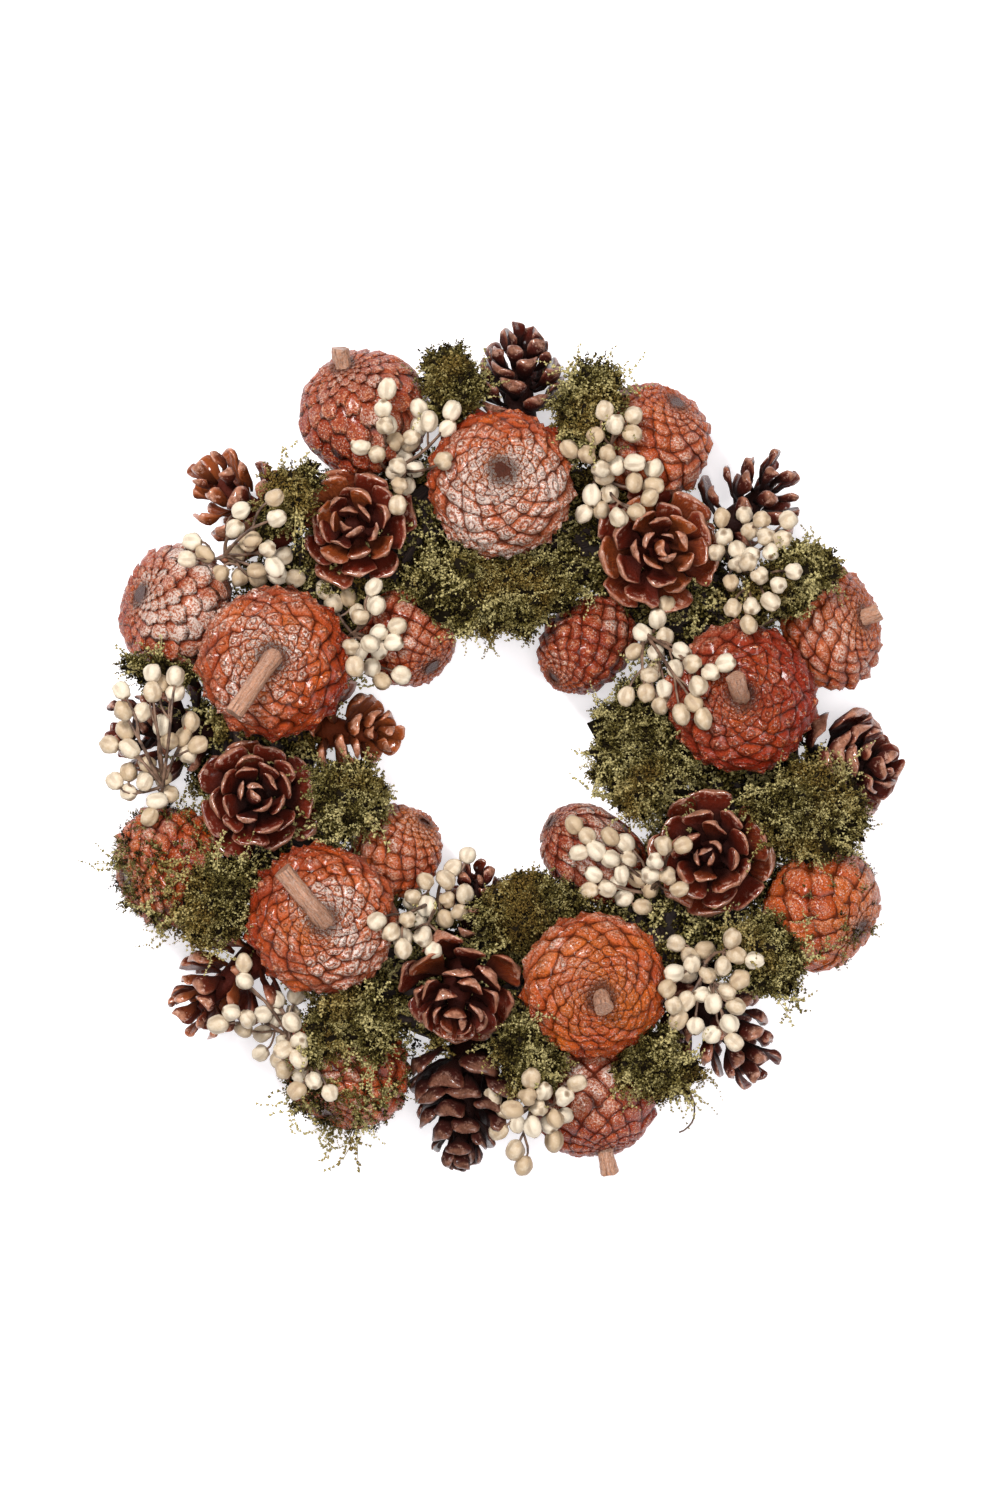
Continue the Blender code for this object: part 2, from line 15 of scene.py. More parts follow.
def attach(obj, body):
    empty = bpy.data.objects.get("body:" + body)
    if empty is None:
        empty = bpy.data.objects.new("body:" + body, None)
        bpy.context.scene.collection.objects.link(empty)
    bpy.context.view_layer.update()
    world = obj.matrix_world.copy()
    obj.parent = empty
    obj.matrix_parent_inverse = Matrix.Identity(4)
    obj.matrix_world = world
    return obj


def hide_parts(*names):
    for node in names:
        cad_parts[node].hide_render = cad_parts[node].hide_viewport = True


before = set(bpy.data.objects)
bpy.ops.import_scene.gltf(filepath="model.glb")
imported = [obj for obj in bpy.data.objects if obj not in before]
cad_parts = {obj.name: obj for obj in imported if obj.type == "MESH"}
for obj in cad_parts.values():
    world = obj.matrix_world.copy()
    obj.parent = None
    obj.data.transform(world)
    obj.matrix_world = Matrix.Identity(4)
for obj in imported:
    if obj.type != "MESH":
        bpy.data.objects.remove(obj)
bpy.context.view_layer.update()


# The studio: a plain white light table, soft lamps above it, and a camera that looks straight down on the
# wreath. The picture is 1000 x 1500 pixels, and its height covers 600 mm at half the wreath's thickness.

PICTURE_SPAN = 0.600
PICTURE_MIDDLE = Vector((-0.0004, -0.0007, 0.040))
LENS_MM, SENSOR_MM = 100, 36
TABLE_HALF, TABLE_DROP, TABLE_GLOW = 3.0, 0.0004, 0.54
TABLE_WHITE, LAMP_WHITE, ROOM_LIGHT = (0.72, 0.705, 0.72, 1), (1.0, 0.985, 1.0, 1), 0.16
# The square soft lamps, which all face the wreath: (place, width, watts)
LAMPS = {"key_lamp": ((-0.55, 0.75, 1.6), 0.40, 36), "fill_lamp": ((1.1, -0.6, 1.6), 1.2, 17),
         "front_lamp": ((0.05, -0.1, 2.3), 0.8, 26)}


def linked(name, data):
    made = bpy.data.objects.new(name, data)
    bpy.context.scene.collection.objects.link(made)
    return made


def mesh_of(bm, name):
    """The finished mesh of a shape that is being made."""
    mesh = bpy.data.meshes.new(name)
    bm.to_mesh(mesh)
    bm.free()
    return mesh


table_top = bmesh.new()
bmesh.ops.create_grid(table_top, x_segments=1, y_segments=1, size=TABLE_HALF)
bmesh.ops.translate(table_top, verts=table_top.verts[:], vec=(0, 0, -TABLE_DROP))
table_mesh = mesh_of(table_top, "table_top")
table_finish = bpy.data.materials.new("white_table")
table_finish.use_nodes = True
table_shader = table_finish.node_tree.nodes["Principled BSDF"]
table_shader.inputs["Base Color"].default_value = TABLE_WHITE
table_shader.inputs["Roughness"].default_value = 0.9
table_shader.inputs["Emission Color"].default_value = LAMP_WHITE
table_shader.inputs["Emission Strength"].default_value = TABLE_GLOW
table_mesh.materials.append(table_finish)
linked("table_top", table_mesh)

for lamp_name, (spot, width, watts) in LAMPS.items():
    lamp = bpy.data.lights.new(lamp_name, "AREA")
    lamp.size = width
    lamp.energy = watts
    soft_box = linked(lamp_name, lamp)
    soft_box.location = spot
    soft_box.rotation_euler = (-Vector(spot)).to_track_quat("-Z", "Y").to_euler()

room = bpy.data.worlds.new("studio")
room.use_nodes = True
room.node_tree.nodes["Background"].inputs["Color"].default_value = LAMP_WHITE
room.node_tree.nodes["Background"].inputs["Strength"].default_value = ROOM_LIGHT
bpy.context.scene.world = room
bpy.context.scene.view_settings.view_transform = "Standard"

camera = bpy.data.cameras.new("camera")
camera.lens = LENS_MM
camera.sensor_width = SENSOR_MM
bpy.context.scene.camera = linked("camera", camera)
bpy.context.scene.camera.location = PICTURE_MIDDLE + Vector((0, 0, PICTURE_SPAN * LENS_MM / SENSOR_MM))


# The base: lengths of thin dark vine, wound round each other in a ring and pressed flat behind. One thinner
# tendril binds them. All the cones, moss and berries are glued to it.

STRANDS, STRAND_TURNS = 21, 3
STRAND_RADIUS = 0.0027
STRAND_STATIONS, STRAND_SIDES = 150, 6
TENDRIL_TURNS, TENDRIL_RADIUS, TENDRIL_SEED = 13, 0.0011, 9
LEVEL_SHARE = 0.43
HEART_SHARE, HEART_STATIONS, HEART_SIDES = 0.74, 72, 14
MERGE_DISTANCE = 0.00002
DARK_BARK, PALE_BARK = (0.014, 0.007, 0.006), (0.075, 0.038, 0.028)


class Wire:
    """A socket in a tree of nodes. Sums on it add Math nodes, and its method node adds any other node."""

    def __init__(self, tree, socket=None):
        self.tree, self.socket = tree, socket

    def plug(self, value, into):
        if isinstance(value, Wire):
            self.tree.links.new(value.socket, into)
        elif isinstance(value, list):
            for one in value:
                self.plug(one, into)
        elif into.type in ("VECTOR", "RGBA") and isinstance(value, (int, float)):
            into.default_value = (value,) * len(into.default_value)
        elif into.type == "RGBA" and len(value) == 3:
            into.default_value = (*value, 1)
        else:
            into.default_value = value

    def node(self, kind, settings=(), values=()):
        """A new node. Its settings come first, then values or wires by socket name or number."""
        made = self.tree.nodes.new(kind)
        for name, value in dict(settings).items():
            if name == "stops":
                self.set_stops(made.color_ramp.elements, value)
            else:
                setattr(made, name, value)
        for key, value in dict(values).items():
            named = [s for s in made.inputs if s.enabled and s.name == key]
            self.plug(value, named[0] if named else made.inputs[key])
        return Wire(self.tree, next((s for s in made.outputs if s.enabled), None))

    @staticmethod
    def set_stops(elements, stops):
        while len(elements) < len(stops):
            elements.new(1)
        for element, (place, colour) in zip(elements, stops):
            element.position = place
            element.color = (*colour, 1)

    def __getitem__(self, name):
        """Another output of the same node."""
        outputs = self.socket.node.outputs
        return Wire(self.tree, next(s for s in outputs if s.enabled and s.name == name))

    def maths(self, operation, *terms):
        types = [term.socket.type for term in terms if isinstance(term, Wire)]
        wide = "VECTOR" in types or "RGBA" in types or any(isinstance(term, Vector) for term in terms)
        kind = "ShaderNodeVectorMath" if wide else "ShaderNodeMath"
        return self.node(kind, {"operation": operation}, dict(enumerate(terms)))

    def __add__(self, other):
        return self.maths("ADD", self, other)

    def __radd__(self, other):
        return self.maths("ADD", other, self)

    def __sub__(self, other):
        return self.maths("SUBTRACT", self, other)

    def __rsub__(self, other):
        return self.maths("SUBTRACT", other, self)

    def __mul__(self, other):
        return self.maths("MULTIPLY", self, other)

    def __rmul__(self, other):
        return self.maths("MULTIPLY", other, self)

    def __truediv__(self, other):
        return self.maths("DIVIDE", self, other)

    def __pow__(self, other):
        return self.maths("POWER", self, other)

    def of(self, operation, *others):
        """A named Math function of this wire, such as its cosine."""
        return self.maths(operation, self, *others)

    def axes(self):
        parts = self.node("ShaderNodeSeparateXYZ", values={"Vector": self})
        return parts["X"], parts["Y"], parts["Z"]

    def point(self, x, y, z):
        return self.node("ShaderNodeCombineXYZ", values={"X": x, "Y": y, "Z": z})

    def between(self, low, high):
        """0 below low, 1 above high, and smooth from one to the other."""
        return self.node("ShaderNodeMapRange", {"interpolation_type": "SMOOTHSTEP"},
                         {"Value": self, "From Min": low, "From Max": high})

    def paint(self, over, share):
        """A colour with another one over it, as far as share says."""
        mixed = self.node("ShaderNodeMix", {"data_type": "RGBA"}, {"Factor": share, "A": self, "B": over})
        return mixed["Result"]

    def noise(self, where, scale, detail=2.0, roughness=0.5):
        return self.node("ShaderNodeTexNoise", values={"Vector": where, "Scale": scale, "Detail": detail,
                                                       "Roughness": roughness})

    def wobble(self, scale, detail=2.0):
        """A small step to any side, which changes smoothly over the places on this wire."""
        return self.noise(self, scale, detail)["Color"] - 0.5

    def ramp(self, *stops):
        """The colour that a ramp of stops gives for this wire."""
        return self.node("ShaderNodeValToRGB", {"stops": stops}, {"Fac": self})

    def random(self, low, high, seed, which):
        """A number for each element by its index, or by another whole number."""
        return self.node("FunctionNodeRandomValue", values={
            "Min": low, "Max": high, "Seed": seed, "ID": which})

    def standing(self, seed, which):
        """A rotation with its Z along the way on this wire, and with a random turn round it."""
        upright = self.node("FunctionNodeAlignRotationToVector", {"axis": "Z"}, {"Vector": self})
        turn = self.point(0, 0, self.random(0.0, math.tau, seed, which))
        spin = self.node("FunctionNodeEulerToRotation", values={"Euler": turn})
        return self.node("FunctionNodeRotateRotation", {"rotation_space": "LOCAL"},
                         {"Rotation": upright, "Rotate By": spin})

    def points_at(self, count, place):
        return self.node("GeometryNodePoints", values={"Count": count, "Position": place})

    def shape(self):
        """The geometry of the object on this wire."""
        return self.node("GeometryNodeObjectInfo", values={"Object": self})["Geometry"]

    def copied_to(self, points, **values):
        """A copy of this geometry on each point. The values are that node's own, such as its Scale."""
        return self.node("GeometryNodeInstanceOnPoints", values={
            "Points": points, "Instance": self, **values})

    def stored(self, name, value, domain="POINT", kind="FLOAT"):
        return self.node("GeometryNodeStoreNamedAttribute", {"domain": domain, "data_type": kind},
                         {"Geometry": self, "Name": name, "Value": value})

    def tinted(self, seed, which, domain="INSTANCE"):
        return self.stored("tint", self.random(0.0, 1.0, seed, which), domain)

    def moved(self, offset):
        return self.node("GeometryNodeSetPosition", values={"Geometry": self, "Offset": offset})

    def put_at(self, x, y, z):
        return self.node("GeometryNodeSetPosition", values={
            "Geometry": self, "Position": self.point(x, y, z)})

    def joined(self, *others):
        return self.node("GeometryNodeJoinGeometry", values={"Geometry": [self, *others]})

    def real(self):
        """The instances on this wire as plain faces."""
        return self.node("GeometryNodeRealizeInstances", values={"Geometry": self})

    def stem(self, sides, radius, scale):
        """A round stem along this line, with the way out of it kept as the attribute spoke."""
        turn = self.node("GeometryNodeSplineParameter") * math.tau
        ring = self.node("GeometryNodeCurvePrimitiveCircle", values={"Resolution": sides, "Radius": radius})
        ring = ring.stored("spoke", self.point(turn.of("COSINE"), turn.of("SINE"), 0), kind="FLOAT_VECTOR")
        return self.node("GeometryNodeCurveToMesh", values={
            "Curve": self, "Profile Curve": ring, "Fill Caps": True, "Scale": scale})


class Finish(Wire):
    """A new material, seen as the start of its wires, with the constants of its shader set."""

    def __init__(self, name, **constants):
        self.material = bpy.data.materials.new(name)
        self.material.use_nodes = True
        super().__init__(self.material.node_tree)
        self.shader = self.tree.nodes["Principled BSDF"]
        for socket_name, value in constants.items():
            self.plug(value, self.shader.inputs[socket_name.replace("_", " ")])

    def attribute(self, name, output="Fac"):
        return self.node("ShaderNodeAttribute", {"attribute_name": name})[output]

    def where(self):
        return self.node("ShaderNodeTexCoord")["Object"]

    def colour(self, value):
        self.plug(value, self.shader.inputs["Base Color"])

    def roughness(self, value):
        self.plug(value, self.shader.inputs["Roughness"])

    def coat(self, value):
        self.plug(value, self.shader.inputs["Coat Weight"])

    def relief(self, height, depth):
        """Fine relief of a height from 0 to 1, as deep as depth says in metres."""
        bump = self.node("ShaderNodeBump", values={"Height": height, "Distance": depth, "Strength": 1.0})
        self.plug(bump, self.shader.inputs["Normal"])


def new_tree(name, sizes):
    """A tree of Geometry Nodes with named inputs. Returns it, and its inputs as wires by their names."""
    kinds = {float: "Float", int: "Int", Vector: "Vector", type(None): "Object"}
    tree = bpy.data.node_groups.new(name, "GeometryNodeTree")
    for way in ("INPUT", "OUTPUT"):
        tree.interface.new_socket("Geometry", in_out=way, socket_type="NodeSocketGeometry")
    for size_name, usual in sizes.items():
        kind = "NodeSocket" + kinds[type(usual)]
        made = tree.interface.new_socket(size_name, in_out="INPUT", socket_type=kind)
        if usual is not None:
            made.default_value = usual
    entry = tree.nodes.new("NodeGroupInput")
    return tree, {s.name: Wire(tree, s) for s in entry.outputs if s.name}


def end_tree(shape, finish):
    """The end of each tree: smooth faces, instances made real, and the material."""
    smooth = shape.node("GeometryNodeSetShadeSmooth", values={"Geometry": shape})
    dressed = shape.node("GeometryNodeSetMaterial", values={
        "Geometry": smooth.real(), "Material": finish.material})
    close = shape.tree.nodes.new("NodeGroupOutput")
    shape.tree.links.new(dressed.socket, close.inputs["Geometry"])


def grown(name, tree, start, place=Matrix(), **sizes):
    """What a tree makes of a starting mesh, as an object at the origin with its place in its mesh."""
    made = linked(name, start)
    growth = made.modifiers.new("growth", "NODES")
    growth.node_group = tree
    for item in tree.interface.items_tree:
        if item.in_out == "INPUT" and item.name in sizes:
            growth[item.identifier] = sizes[item.name]
    graph = bpy.context.evaluated_depsgraph_get()
    plain = bpy.data.meshes.new_from_object(
        made.evaluated_get(graph), preserve_all_data_layers=True, depsgraph=graph)
    made.modifiers.remove(growth)
    made.data = plain
    plain.transform(place)
    return made


def set_in(piece, node=None):
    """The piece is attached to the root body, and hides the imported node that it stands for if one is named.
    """
    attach(piece, "root")
    if node:
        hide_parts(node)


def merged(node):
    """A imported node's loose triangles, joined into one closed mesh."""
    bm = bmesh.new()
    bm.from_mesh(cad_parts[node].data)
    bmesh.ops.remove_doubles(bm, verts=bm.verts[:], dist=MERGE_DISTANCE)
    return bm


def bark_finish():
    """Dark, dry bark with fissures along each vine and a paler skin where it is rubbed."""
    bark = Finish("vine_bark", Roughness=0.8)
    along, strand = bark.attribute("along"), bark.attribute("strand")
    x, y, _ = bark.attribute("spoke", "Vector").axes()
    grain = bark.point(along * 9.0, x + strand * 3.7, y)
    fissures = bark.noise(grain, 3.2, 4.0, 0.65)
    patches = bark.noise(bark.where(), 55.0, 3.0)
    pale = fissures.between(0.42, 0.70) * (patches * 0.9 + 0.2) + bark.attribute("tint") * 0.25
    bark.colour(pale.ramp((0.0, DARK_BARK), (1.0, PALE_BARK)))
    bark.relief(fissures, 0.0011)
    return bark


def vine_tree(finish):
    """Each strand is a line that is bent round the ring while it winds round the ring's section."""
    tree, size = new_tree("wound_vines", {
        "Strands": STRANDS, "Turns": float(STRAND_TURNS), "Radius": 0.098, "Width": 0.022, "Height": 0.016,
        "Level": 0.012, "Thick": STRAND_RADIUS, "Inmost": 0.78, "Seed": 1})
    start = Wire(tree)
    one = start.node("GeometryNodeCurvePrimitiveLine", values={"Start": (0, 0, 0), "End": (1, 0, 0)})
    one = start.node("GeometryNodeResampleCurve", values={"Curve": one, "Count": STRAND_STATIONS})
    number = start.node("GeometryNodeInputIndex")
    lines = one.copied_to(start.points_at(size["Strands"], start.point(0, number, 0))).real()
    share, strand, _ = start.node("GeometryNodeInputPosition").axes()
    lines = lines.stored("along", share * 0.62).stored("strand", strand)
    lines = lines.tinted(size["Seed"], strand, "POINT")
    drift = start.noise(start.point(share * 6.0, strand * 5.3, size["Seed"]), 1.0) - 0.5
    swell = start.noise(start.point(share * 26.0, strand * 9.1, size["Seed"]), 1.0)
    thick = size["Thick"] * start.random(0.62, 1.12, size["Seed"] + 1, strand)
    round_ring = (share * 1.06 + start.random(0.0, 1.0, size["Seed"] + 2, strand)) * math.tau
    winding = (strand / size["Strands"] + size["Turns"] * round_ring / math.tau) * math.tau + drift * 1.3
    layer = start.random(size["Inmost"], 1.0, size["Seed"] + 3, strand) - drift.of("ABSOLUTE") * 0.15
    out = size["Radius"] + (size["Width"] - thick) * layer * winding.of("COSINE")
    level = size["Level"] + (size["Height"] - thick) * layer * winding.of("SINE")
    level = level.of("MAXIMUM", thick * 1.1)
    bent = lines.put_at(out * round_ring.of("COSINE"), out * round_ring.of("SINE"), level)
    along = start.node("GeometryNodeSplineParameter")
    tapered = (along * 30.0).of("MINIMUM", (1.0 - along) * 30.0).of("MINIMUM", 1.0)
    wound = bent.stem(STRAND_SIDES, 1.0, thick * (swell * 0.5 + 0.75) * (tapered * 0.7 + 0.3))
    end_tree(size["Geometry"].joined(wound), finish)
    return tree


def vine_heart(radius, half_width, half_height, level, first=0, last=HEART_STATIONS):
    """The inner vines, which only show as dark bark in the gaps: a plain ring just under the outer strands.

    The stations from first to last are a part of the round, for moss to stand on.
    """
    stations, sides = HEART_STATIONS, HEART_SIDES
    bm = bmesh.new()
    rows = []
    for i in range(stations):
        turn = math.tau * i / stations
        row = []
        for j in range(sides):
            around = math.tau * j / sides
            out = radius + half_width * HEART_SHARE * math.cos(around)
            height = max(level + half_height * HEART_SHARE * math.sin(around), STRAND_RADIUS)
            row.append(bm.verts.new((out * math.cos(turn), out * math.sin(turn), height)))
        rows.append(row)
    for i in range(first, last):
        for j in range(sides):
            k = (j + 1) % sides
            bm.faces.new((rows[i][j], rows[(i + 1) % stations][j], rows[(i + 1) % stations][k], rows[i][k]))
    bmesh.ops.recalc_face_normals(bm, faces=bm.faces[:])
    return mesh_of(bm, "vine_heart")


packed_ring = merged("vine_ring")
ring_points = [v.co.copy() for v in packed_ring.verts]
ring_centre = sum(ring_points, Vector()) / len(ring_points)
ring_centre.z = 0
reaches = [Vector((p.x - ring_centre.x, p.y - ring_centre.y)).length for p in ring_points]
ring_radius = (max(reaches) + min(reaches)) / 2
ring_half_width = (max(reaches) - min(reaches)) / 2
ring_top = max(p.z for p in ring_points)
ring_level = LEVEL_SHARE * ring_top
ring_height = ring_top - ring_level

ring_form = {"Radius": ring_radius, "Width": ring_half_width, "Height": ring_height, "Level": ring_level}
bark = bark_finish()
vines = vine_tree(bark)
heart = vine_heart(ring_radius, ring_half_width, ring_height, ring_level)
strands = grown("vine_strands", vines, heart, Matrix.Translation(ring_centre), **ring_form)
set_in(strands, "vine_ring")
tendril = grown("binding_tendril", vines, bpy.data.meshes.new("nothing"), Matrix.Translation(ring_centre),
                Strands=1, Turns=float(TENDRIL_TURNS), Thick=TENDRIL_RADIUS, Inmost=1.0, Seed=TENDRIL_SEED,
                **ring_form)
set_in(tendril)


# Closed cones: varnished rust-orange, glued by their sawn tips so that their bases show. The scales lie in a
# spiral, one every golden angle, and get smaller towards the stalk. White spray frosts the side it came from,
# and that side also gets a painted sheen, as if lit.

GOLDEN_ANGLE = math.radians(137.508)
TIGHT_CLIMB, KNOB_CLIMB, FINE_CLIMB = 0.0200, 0.0185, 0.0205
PLATE_CLIMB, TILE_CLIMB, SHIELD_CLIMB = 0.0275, 0.0240, 0.0360
LOWEST, HIGHEST = -1.30, 3.10
DOME_SHARE, UNDER_SHARE = 0.52, 0.627
FULLNESS, STEEP_LEAN = 0.9, 0.3
SCALE_TOP = 0.15
SWELLS, DENTS, GNARLS = 0.0030, 0.0011, 0.0022
BOSS_EDGE, BOSS_FOOT, PRICKLE, PRICKLE_HEIGHT = 0.12, 0.40, 0.16, 0.05
CLOSE_STEPS = (-1, -0.86, -0.55, -0.22, 0, 0.22, 0.55, 0.86, 1)
PLAIN_STEPS = (-1, -0.84, -0.42, -0.16, 0.16, 0.42, 0.84, 1)
FEW_STEPS = (-1, -0.82, -0.30, 0, 0.34, 0.84, 1)
STALK_RADIUS, STALK_FLARE, STUB_STATIONS, STUB_SIDES = 0.0034, 0.55, 12, 14
SCAR_SHARE, SCAR_HEIGHT = 0.135, -0.0002
FOOT_SIDES, FOOT_SHARE, STUB_START = 32, 0.72, 0.004
FLAT_ANGLE, LEVEL_ROW, CREST_SHARE = 0.002, 8, 0.6
DARK_RUST_AND_SEAM_SHADE, RED = (0.072, 0.009, 0.002), (0.27, 0.018, 0.004)
GOLD_RUST, ORANGE = (0.56, 0.115, 0.009), (0.51, 0.075, 0.008)
FROST_AND_GLINT_WHITE, PINK_DUST_AND_SHEEN, RUST_HIGHLIGHT = (0.74, 0.60, 0.52), (0.64, 0.32, 0.20), (0.72, 0.23, 0.08)
CROWN_BROWN, SCAR_BROWN = (0.045, 0.026, 0.020), (0.042, 0.018, 0.011)
GREY_WOOD, TAN_WOOD = (0.15, 0.080, 0.055), (0.55, 0.27, 0.16)


def marked(mesh, **marks):
    """A mesh with numbers or vectors kept at its points, for its tree or its finish to read."""
    for name, values in marks.items():
        if isinstance(values[0], (int, float)):
            mesh.attributes.new(name, "FLOAT", "POINT").data.foreach_set("value", values)
        else:
            flat = [x for value in values for x in value]
            mesh.attributes.new(name, "FLOAT_VECTOR", "POINT").data.foreach_set("vector", flat)
    return mesh


def smooth_step(low, high, value):
    share = min(1, max(0, (value - low) / (high - low)))
    return share * share * (3 - 2 * share)


def flat_scale(steps, climb, lean, overhang, boss_height):
    """One scale on the flat: a plump cell of the spiral lattice, keeled across and bossed or dished.

    The cell's sides lie along the lattice's eighth and thirteenth neighbours. The free edge is the lower one.
    It stands higher than the upper one as far as lean says, and hangs over the scales below it.
    """
    eighth = Vector((8 * GOLDEN_ANGLE - 3 * math.tau, 8 * climb))
    thirteenth = Vector((13 * GOLDEN_ANGLE - 5 * math.tau, 13 * climb))
    bm = bmesh.new()
    rows, crests, places = [], [], []
    for s in steps:
        row = []
        for t in steps:
            down, across, hub = -(s + t) / 2, abs(s - t) / 2, math.hypot(s, t)
            rim = (1 - s**4) * (1 - t**4)
            if lean > STEEP_LEAN and down > 0:
                rim = rim**0.5
            keel = max(0, 1 - 2.0 * abs(s + t))
            boss = boss_height * (1 - smooth_step(BOSS_EDGE, BOSS_FOOT, hub))
            boss += PRICKLE_HEIGHT * max(0, 1 - hub / PRICKLE)
            crest = rim * (0.46 + lean * down + 0.14 * keel + boss)
            spot = (s * eighth + t * thirteenth) / 2
            droop = overhang * rim * max(0, down + 0.3) * (0.45 + 1.3 * across)
            row.append(bm.verts.new((spot.x, spot.y - droop, SCALE_TOP * crest)))
            crests.append(crest)
            places.append((s, t, 0))
        rows.append(row)
    for lower, upper in zip(rows, rows[1:]):
        for j in range(len(steps) - 1):
            bm.faces.new((lower[j], upper[j], upper[j + 1], lower[j + 1]))
    return marked(mesh_of(bm, "flat_scale"), crest=crests, place=places)


def closed_cone_tree(finish):
    """A spiral of flat scales is laid out, wrapped round the cone's body and welded into one skin."""
    tree, size = new_tree("closed_cone", {
        "Radius": 0.028, "Height": 0.042, "Scales": 240, "Climb": TIGHT_CLIMB, "Lowest": LOWEST,
        "End": Vector((0, 0, 0.05)), "Stub": STALK_RADIUS, "Frosted": Vector((0, 0, 1)), "Frost": 0.5,
        "Hue": 0.5, "Bossed": 0.5, "Seed": 1})
    start, radius, height, seed = Wire(tree), size["Radius"], size["Height"], size["Seed"]
    here, number = start.node("GeometryNodeInputPosition"), start.node("GeometryNodeInputIndex")
    spiral = start.point(number * GOLDEN_ANGLE, size["Lowest"] + number * size["Climb"], 0)
    plump = start.point(1, 1, start.random(0.60, 1.30, seed, number))
    scales = size["Geometry"].copied_to(start.points_at(size["Scales"], spiral), Scale=plump)
    scales = scales.tinted(seed + 1, number).real()
    angle, climb, _ = here.axes()
    round_place = start.point(angle.of("COSINE"), angle.of("SINE"), climb + seed * 7.0)
    drift = round_place.wobble(2.0) * Vector((0.30, 0.30, 0))
    scales = scales.moved(drift + round_place.wobble(3.1, 1.0) * Vector((0.24, 0.24, 0)))
    angle, climb, rise = here.axes()
    scales = scales.stored("climb", climb)

    above = climb.of("GREATER_THAN", 0.0)
    reach = radius * climb.of("COSH") ** -FULLNESS
    tall = height * (above * DOME_SHARE + (1.0 - above) * UNDER_SHARE)
    level = height * (1 - DOME_SHARE) + tall * climb.of("TANH")
    steep = tall / climb.of("COSH") ** 2.0
    lean = FULLNESS * reach * climb.of("TANH")
    slope = (steep * steep + lean * lean).of("SQRT")
    lift = rise * reach
    reach = reach + lift * steep / slope
    level = (level + lift * lean / slope).of("MAXIMUM", 0.0)
    skin = scales.put_at(reach * angle.of("COSINE"), reach * angle.of("SINE"), level)
    skin = start.node("GeometryNodeMergeByDistance", values={"Geometry": skin, "Distance": MERGE_DISTANCE})
    own_place = here + start.point(seed, 0, 0)
    skin = skin.moved(own_place.wobble(75.0, 1.0) * SWELLS + own_place.wobble(430.0, 1.0) * DENTS)
    # How far spray frost and a painted sheen cover each point: most on the side that the given way faces.
    outward = (here - start.point(0, 0, height * 0.45)).of("NORMALIZE")
    facing = outward.of("DOT_PRODUCT", size["Frosted"].of("NORMALIZE"))["Value"]
    skin = skin.stored("frost", facing.between(-0.25, 0.95) * size["Frost"])

    foot = start.node("GeometryNodeMeshCircle", {"fill_type": "NGON"},
                      {"Vertices": FOOT_SIDES, "Radius": radius * FOOT_SHARE})
    foot = start.node("GeometryNodeFlipFaces", values={"Mesh": foot})
    _, _, end_level = size["End"].axes()
    share = start.node("GeometryNodeSplineParameter")
    stub = start.node("GeometryNodeCurveQuadraticBezier", values={
        "Resolution": STUB_STATIONS, "Start": start.point(0, 0, height - STUB_START), "End": size["End"],
        "Middle": start.point(0, 0, height * 0.5 + end_level * 0.5)})
    girth = (1.0 - share) ** 5.0 * STALK_FLARE + share * 0.20 + 0.90
    stub = stub.stored("along", share).stem(STUB_SIDES, size["Stub"], girth)
    stub = stub.moved((here * Vector((1, 1, 0.6)) + start.point(0, seed, 0)).wobble(380.0) * GNARLS)
    stub = stub.stored("wood", (end_level - height).between(0.001, 0.004)).stored("scar", 1.0)
    end_tree(skin.joined(foot, stub).stored("bossed", size["Bossed"]).stored("hue", size["Hue"]), finish)
    return tree


